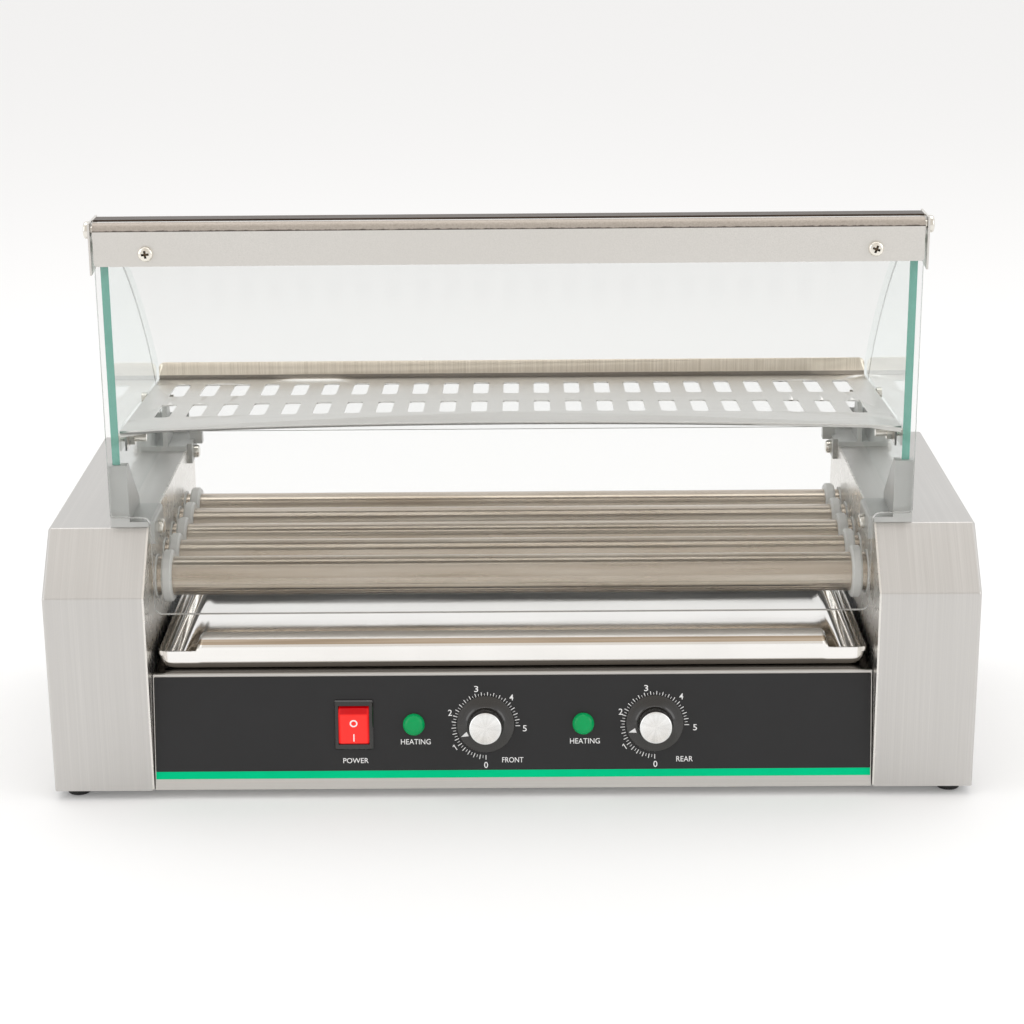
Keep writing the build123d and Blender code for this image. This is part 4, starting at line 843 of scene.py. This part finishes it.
def shelf_mat():
    """Brushed sheet; the turned-up back edge is grained upright and painted warm tan, lighter than the flat, a painted
    reflection; a dark band along its bend is painted shade.
    """
    m, nt, out = new_mat("shelf_steel_grain")
    flat = noise(nt, coords(nt, (12, 900, 900)), 1.0, 3.0)
    upright = noise(nt, coords(nt, (1300, 1300, 14)), 1.0, 3.0)
    cloud = noise(nt, coords(nt, (5, 30, 30)), 1.0, 3.0)
    b = bsdf(nt, out, Metallic=1.0)
    y = position(nt, "Y")
    high = compare(nt, position(nt, "Z"), "GREATER_THAN", 0.2252)
    rear = compare(nt, y, "GREATER_THAN", 0.0740)
    bk = N(nt, "Math", operation="MULTIPLY")
    L(nt, high, bk.inputs[0]); L(nt, rear, bk.inputs[1])
    back = bk.outputs[0]
    # painted shade: a dark band along the bend at the foot of the upstand
    near = vramp(nt, y, 0.0, 1.0, 0.0745, 0.0795)
    fold_shade = N(nt, "Math", operation="MULTIPLY")
    L(nt, near, fold_shade.inputs[0])
    inv = N(nt, "Math", operation="SUBTRACT")
    inv.inputs[0].default_value = 1.0
    L(nt, back, inv.inputs[1])
    L(nt, inv.outputs[0], fold_shade.inputs[1])
    c1 = ramp(nt, flat, [(0.3, (0.665, 0.655, 0.63)), (0.7, (0.735, 0.725, 0.70))])
    # upstand colour warm tan, lighter than the flat: painted reflection
    c2 = ramp(nt, upright, [(0.3, (0.70, 0.62, 0.515)), (0.7, (0.90, 0.82, 0.71))])
    c3 = mixc(nt, back, c1, c2)
    # the dark brown here is the painted shade along the bend
    c4 = mixc(nt, fold_shade.outputs[0], c3, (0.30, 0.265, 0.225))
    L(nt, c4, b.inputs["Base Color"])
    L(nt, vramp(nt, cloud, 0.30, 0.42, 0.3, 0.7), b.inputs["Roughness"])
    L(nt, bump(nt, flat, 0.25, 0.00004), b.inputs["Normal"])
    return m
M["shelf_steel"] = shelf_mat()
shelf()

# ------------------------------------------------------------------ screws
def cross_screw(r, h, rec=0.0, n=48):
    """Pan head with a cross recess, head up local +Z from 0 to h."""
    prof = [(0, -0.02), (r * 0.985, 0.0), (r, h * 0.12), (r, h * 0.38), (r * 0.955, h * 0.62), (r * 0.84, h * 0.83), (r * 0.62, h * 0.95), (r * 0.35, h * 0.99), (0, h)]
    v, f = lathe(prof, n)
    me = bpy.data.meshes.new("h"); me.from_pydata(v, [], f)
    head = bpy.data.objects.new("h", me); SCENE.collection.objects.link(head)
    a, b, d = r * 0.62, r * 0.155, h * 0.62
    cv, cf = [], []
    for k in range(2):
        o = len(cv)
        for z, q in ((h - d, 0.55), (h + 1.0, 1.0)):
            for x, y in ((-a * q, -b), (a * q, -b), (a * q, b), (-a * q, b)):
                cv.append((x, y, z) if k == 0 else (-y, x, z))
        cf += [tuple(i + o for i in q) for q in ((0,3,2,1),(4,5,6,7),(0,1,5,4),(1,2,6,5),(2,3,7,6),(3,0,4,7))]
    c1 = bpy.data.meshes.new("c"); c1.from_pydata(cv[:8], [], cf[:6])
    c2 = bpy.data.meshes.new("c"); c2.from_pydata(cv[8:], [], [tuple(i - 8 for i in q) for q in cf[6:]])
    made = []
    for c in (c1, c2):
        co = bpy.data.objects.new("c", c); SCENE.collection.objects.link(co)
        md = head.modifiers.new("cut", "BOOLEAN"); md.operation = "DIFFERENCE"; md.solver = "EXACT"; md.object = co
        made.append(co)
    baked(head)
    v = [tuple(p.co) for p in head.data.vertices]
    f = [tuple(p.vertices) for p in head.data.polygons]
    for o in [head] + made:
        bpy.data.objects.remove(o)
    return v, f

def screws(name, spots, r, h, body, replaces, mat, turn=0.4):
    """spots: (place in mm, direction the head faces, thread length behind it, thread radius)."""
    head = cross_screw(r, h)
    parts = []
    for k, (at, face, tail, tr) in enumerate(spots):
        m = axis_m(at, face, (0.3, 0.2, 1.0)) @ Matrix.Rotation(turn + k * 1.1, 4, "Z")
        parts.append((placed(head[0], m), head[1]))
        if tail:
            prof = [(0, -tail)] + [(tr * (0.86 if i % 2 else 1.0), -tail + 0.25 + i * 0.35) for i in range(int((tail - 0.3) / 0.35))] + [(tr, -0.05), (0, -0.01)]
            tv, tf = lathe(prof, 24)
            parts.append((placed(tv, m), tf))
    v, f = merge(parts)
    ob = add_obj(name, v, f, mat, body, replaces, smooth=35)
    ob.data.materials.append(M["recess"])
    # faces inside the cross recess take the dark brown colour
    for p in ob.data.polygons:
        for at, face, tail, tr in spots:
            q = Vector(p.center) / MM - Vector(at)
            n = Vector(face).normalized()
            hgt = q.dot(n)
            if (q - n * hgt).length < r * 0.66 and h * 0.30 < hgt < h * 0.93:
                p.material_index = 1

def fastener_mat(name, base):
    """Bright plated steel of the given colour; also used with a dark brown colour for the cross recess."""
    m, nt, out = new_mat(name)
    b = bsdf(nt, out, Metallic=1.0)
    n = noise(nt, coords(nt), 700.0, 3.0)
    L(nt, ramp(nt, n, [(0.3, tuple(c * 0.86 for c in base)), (0.7, base)]), b.inputs["Base Color"])
    L(nt, vramp(nt, n, 0.12, 0.24, 0.3, 0.7), b.inputs["Roughness"])
    return m
M["bright_screw"] = fastener_mat("bright_screw", (0.88, 0.84, 0.76))
# dark brown colour for the faces inside the cross recess
M["recess"] = fastener_mat("recess_dark_brown", (0.10, 0.075, 0.05))
M["zinc_screw"] = fastener_mat("zinc_screw", (0.70, 0.71, 0.70))

fs = [((-218.5, Y0 + 30.1, 344.3), (0, -1, 0), 5.0, 2.0), ((220.8, Y0 + 30.1, 344.3), (0, -1, 0), 5.0, 2.0)]
screws("flap_plate_screws", fs, 4.6, 2.7, "flap", ("flap_screws",), M["bright_screw"])

# ------------------------------------------------------------------ hood plates, two zones on one sheet: blasted below; above, the flap's rolled edge and the channel top's painted shade
def blasted(nt, out):
    """Bead-blasted steel plate: fine even grain, no lines."""
    n1 = noise(nt, coords(nt), 1500.0, 2.0)
    n2 = noise(nt, coords(nt, (4, 4, 10)), 1.0, 3.0)
    b = bsdf(nt, out, Metallic=1.0)
    c = ramp(nt, n1, [(0.3, (0.635, 0.62, 0.59)), (0.7, (0.735, 0.715, 0.685))])
    L(nt, mixc(nt, vramp(nt, n2, 0.0, 0.4, 0.35, 0.65), c, (0.655, 0.635, 0.60)), b.inputs["Base Color"])
    L(nt, vramp(nt, n1, 0.40, 0.52, 0.3, 0.7), b.inputs["Roughness"])
    L(nt, bump(nt, n1, 0.25, 0.00005), b.inputs["Normal"])
    return b

def two_zone(name, second, axis, edge, limit=None):
    """Blasted below the edge height, the second shader above it: the rolled edge on the flap, painted shade on the
    channel top.
    """
    m, nt, out = new_mat(name)
    lower = blasted(nt, out)
    upper = second(nt, out)
    mask = compare(nt, position(nt, axis), "GREATER_THAN", edge)
    if limit:
        ax = N(nt, "Math", operation="ABSOLUTE")
        L(nt, position(nt, "X"), ax.inputs[0])
        inside = compare(nt, ax.outputs[0], "LESS_THAN", limit)
        both = N(nt, "Math", operation="MULTIPLY")
        L(nt, mask, both.inputs[0]); L(nt, inside, both.inputs[1])
        mask = both.outputs[0]
    mx = N(nt, "MixShader")
    L(nt, mask, mx.inputs[0])
    L(nt, lower.outputs[0], mx.inputs[1])
    L(nt, upper.outputs[0], mx.inputs[2])
    L(nt, mx.outputs[0], out.inputs["Surface"])
    return m

def rolled(nt, out):
    """The rolled top edge: matt and pebbled, with an uneven dark band along its foot: painted shade in the groove."""
    n1 = noise(nt, coords(nt, (900, 900, 900)), 1.0, 3.0)
    n2 = noise(nt, coords(nt, (260, 40, 40)), 1.0, 3.0)
    b = bsdf(nt, out, Metallic=0.75)
    wob = N(nt, "Math", operation="MULTIPLY_ADD")
    wob.inputs[1].default_value = 0.0018
    L(nt, n2, wob.inputs[0]); L(nt, position(nt, "Z"), wob.inputs[2])
    # painted shade: uneven dark band in the groove along the foot of the roll
    groove_shade = vramp(nt, wob.outputs[0], 1.0, 0.0, 0.3590, 0.3596)
    base = ramp(nt, n1, [(0.3, (0.38, 0.335, 0.29)), (0.7, (0.50, 0.45, 0.40))])
    L(nt, mixc(nt, groove_shade, base, (0.09, 0.075, 0.065)), b.inputs["Base Color"])
    L(nt, vramp(nt, n1, 0.46, 0.62, 0.3, 0.7), b.inputs["Roughness"])
    L(nt, bump(nt, n1, 0.5, 0.00012), b.inputs["Normal"])
    return b

def bronzed(nt, out):
    """The channel's top, painted near-black brown: painted shade and dark reflection on the top plate."""
    n1 = noise(nt, coords(nt, (30, 300, 300)), 1.0, 3.0)
    b = bsdf(nt, out, Metallic=1.0)
    # painted shade: dark brown base colour for the channel top
    L(nt, ramp(nt, n1, [(0.3, (0.075, 0.058, 0.047)), (0.7, (0.125, 0.10, 0.083))]), b.inputs["Base Color"])
    L(nt, vramp(nt, n1, 0.34, 0.46, 0.3, 0.7), b.inputs["Roughness"])
    return b

for node, mat in (("flap_plate", two_zone("flap_plate_finish", rolled, "Z", 0.3577)),
                  ("hood_channel", two_zone("hood_channel_painted_dark_top", bronzed, "Z", 0.3612, 0.2508))):
    for sl in NODES[node].material_slots:
        sl.material = mat

# ------------------------------------------------------------------ studio
def make_studio():
    me = bpy.data.meshes.new("floor")
    s = 14.0
    me.from_pydata([(-s, -s, 0), (s, -s, 0), (s, s, 0), (-s, s, 0)], [], [(0, 1, 2, 3)])
    floor = bpy.data.objects.new("floor", me)
    SCENE.collection.objects.link(floor)
    floor.location.z = -0.0002
    m, nt, out = new_mat("pale_floor")
    d = N(nt, "BsdfDiffuse")
    d.inputs["Color"].default_value = (0.82, 0.82, 0.82, 1)
    e = N(nt, "Emission")
    e.inputs["Color"].default_value = (1, 1, 1, 1)
    e.inputs["Strength"].default_value = 0.10
    a = N(nt, "AddShader")
    L(nt, d.outputs[0], a.inputs[0])
    L(nt, e.outputs[0], a.inputs[1])
    L(nt, a.outputs[0], out.inputs["Surface"])
    me.materials.append(m)

    w = bpy.data.worlds.new("studio")
    SCENE.world = w
    w.use_nodes = True
    nt = w.node_tree
    nt.nodes.clear()
    out = nt.nodes.new("ShaderNodeOutputWorld")
    tc = N(nt, "TexCoord")
    sep = N(nt, "SeparateXYZ")
    L(nt, tc.outputs["Generated"], sep.inputs[0])
    # white cyclorama behind, broad bright panels at both sides, a dim warm room between and above them
    ay = vramp(nt, sep.outputs["Y"], 1.0, 0.0, -0.05, 0.30)
    axx = N(nt, "Math", operation="ABSOLUTE")
    L(nt, sep.outputs["X"], axx.inputs[0])
    mid = vramp(nt, axx.outputs[0], 1.0, 0.0, 0.22, 0.48)
    mul = N(nt, "Math", operation="MULTIPLY")
    L(nt, ay, mul.inputs[0]); L(nt, mid, mul.inputs[1])
    col = mixc(nt, mul.outputs[0], (1.0, 1.0, 1.0), (0.84, 0.80, 0.755))
    bg = nt.nodes.new("ShaderNodeBackground")
    L(nt, col, bg.inputs["Color"])
    bg.inputs["Strength"].default_value = 1.0
    L(nt, bg.outputs[0], out.inputs["Surface"])

    def area(name, loc, target, size, energy, col=(1, 1, 1)):
        l = bpy.data.lights.new(name, "AREA")
        l.shape = "RECTANGLE"
        l.size, l.size_y = size
        l.energy = energy
        l.color = col
        o = bpy.data.objects.new(name, l)
        SCENE.collection.objects.link(o)
        o.location = loc
        o.rotation_euler = (Vector(target) - Vector(loc)).to_track_quat("-Z", "Y").to_euler()
    area("soft_top", (0.0, 0.25, 1.9), (0, 0, 0.1), (2.2, 1.2), 10)
    area("soft_left", (-1.7, -0.9, 0.9), (0, 0, 0.15), (0.9, 1.4), 5)
    area("soft_right", (1.7, -0.9, 0.9), (0, 0, 0.15), (0.9, 1.4), 5)
make_studio()
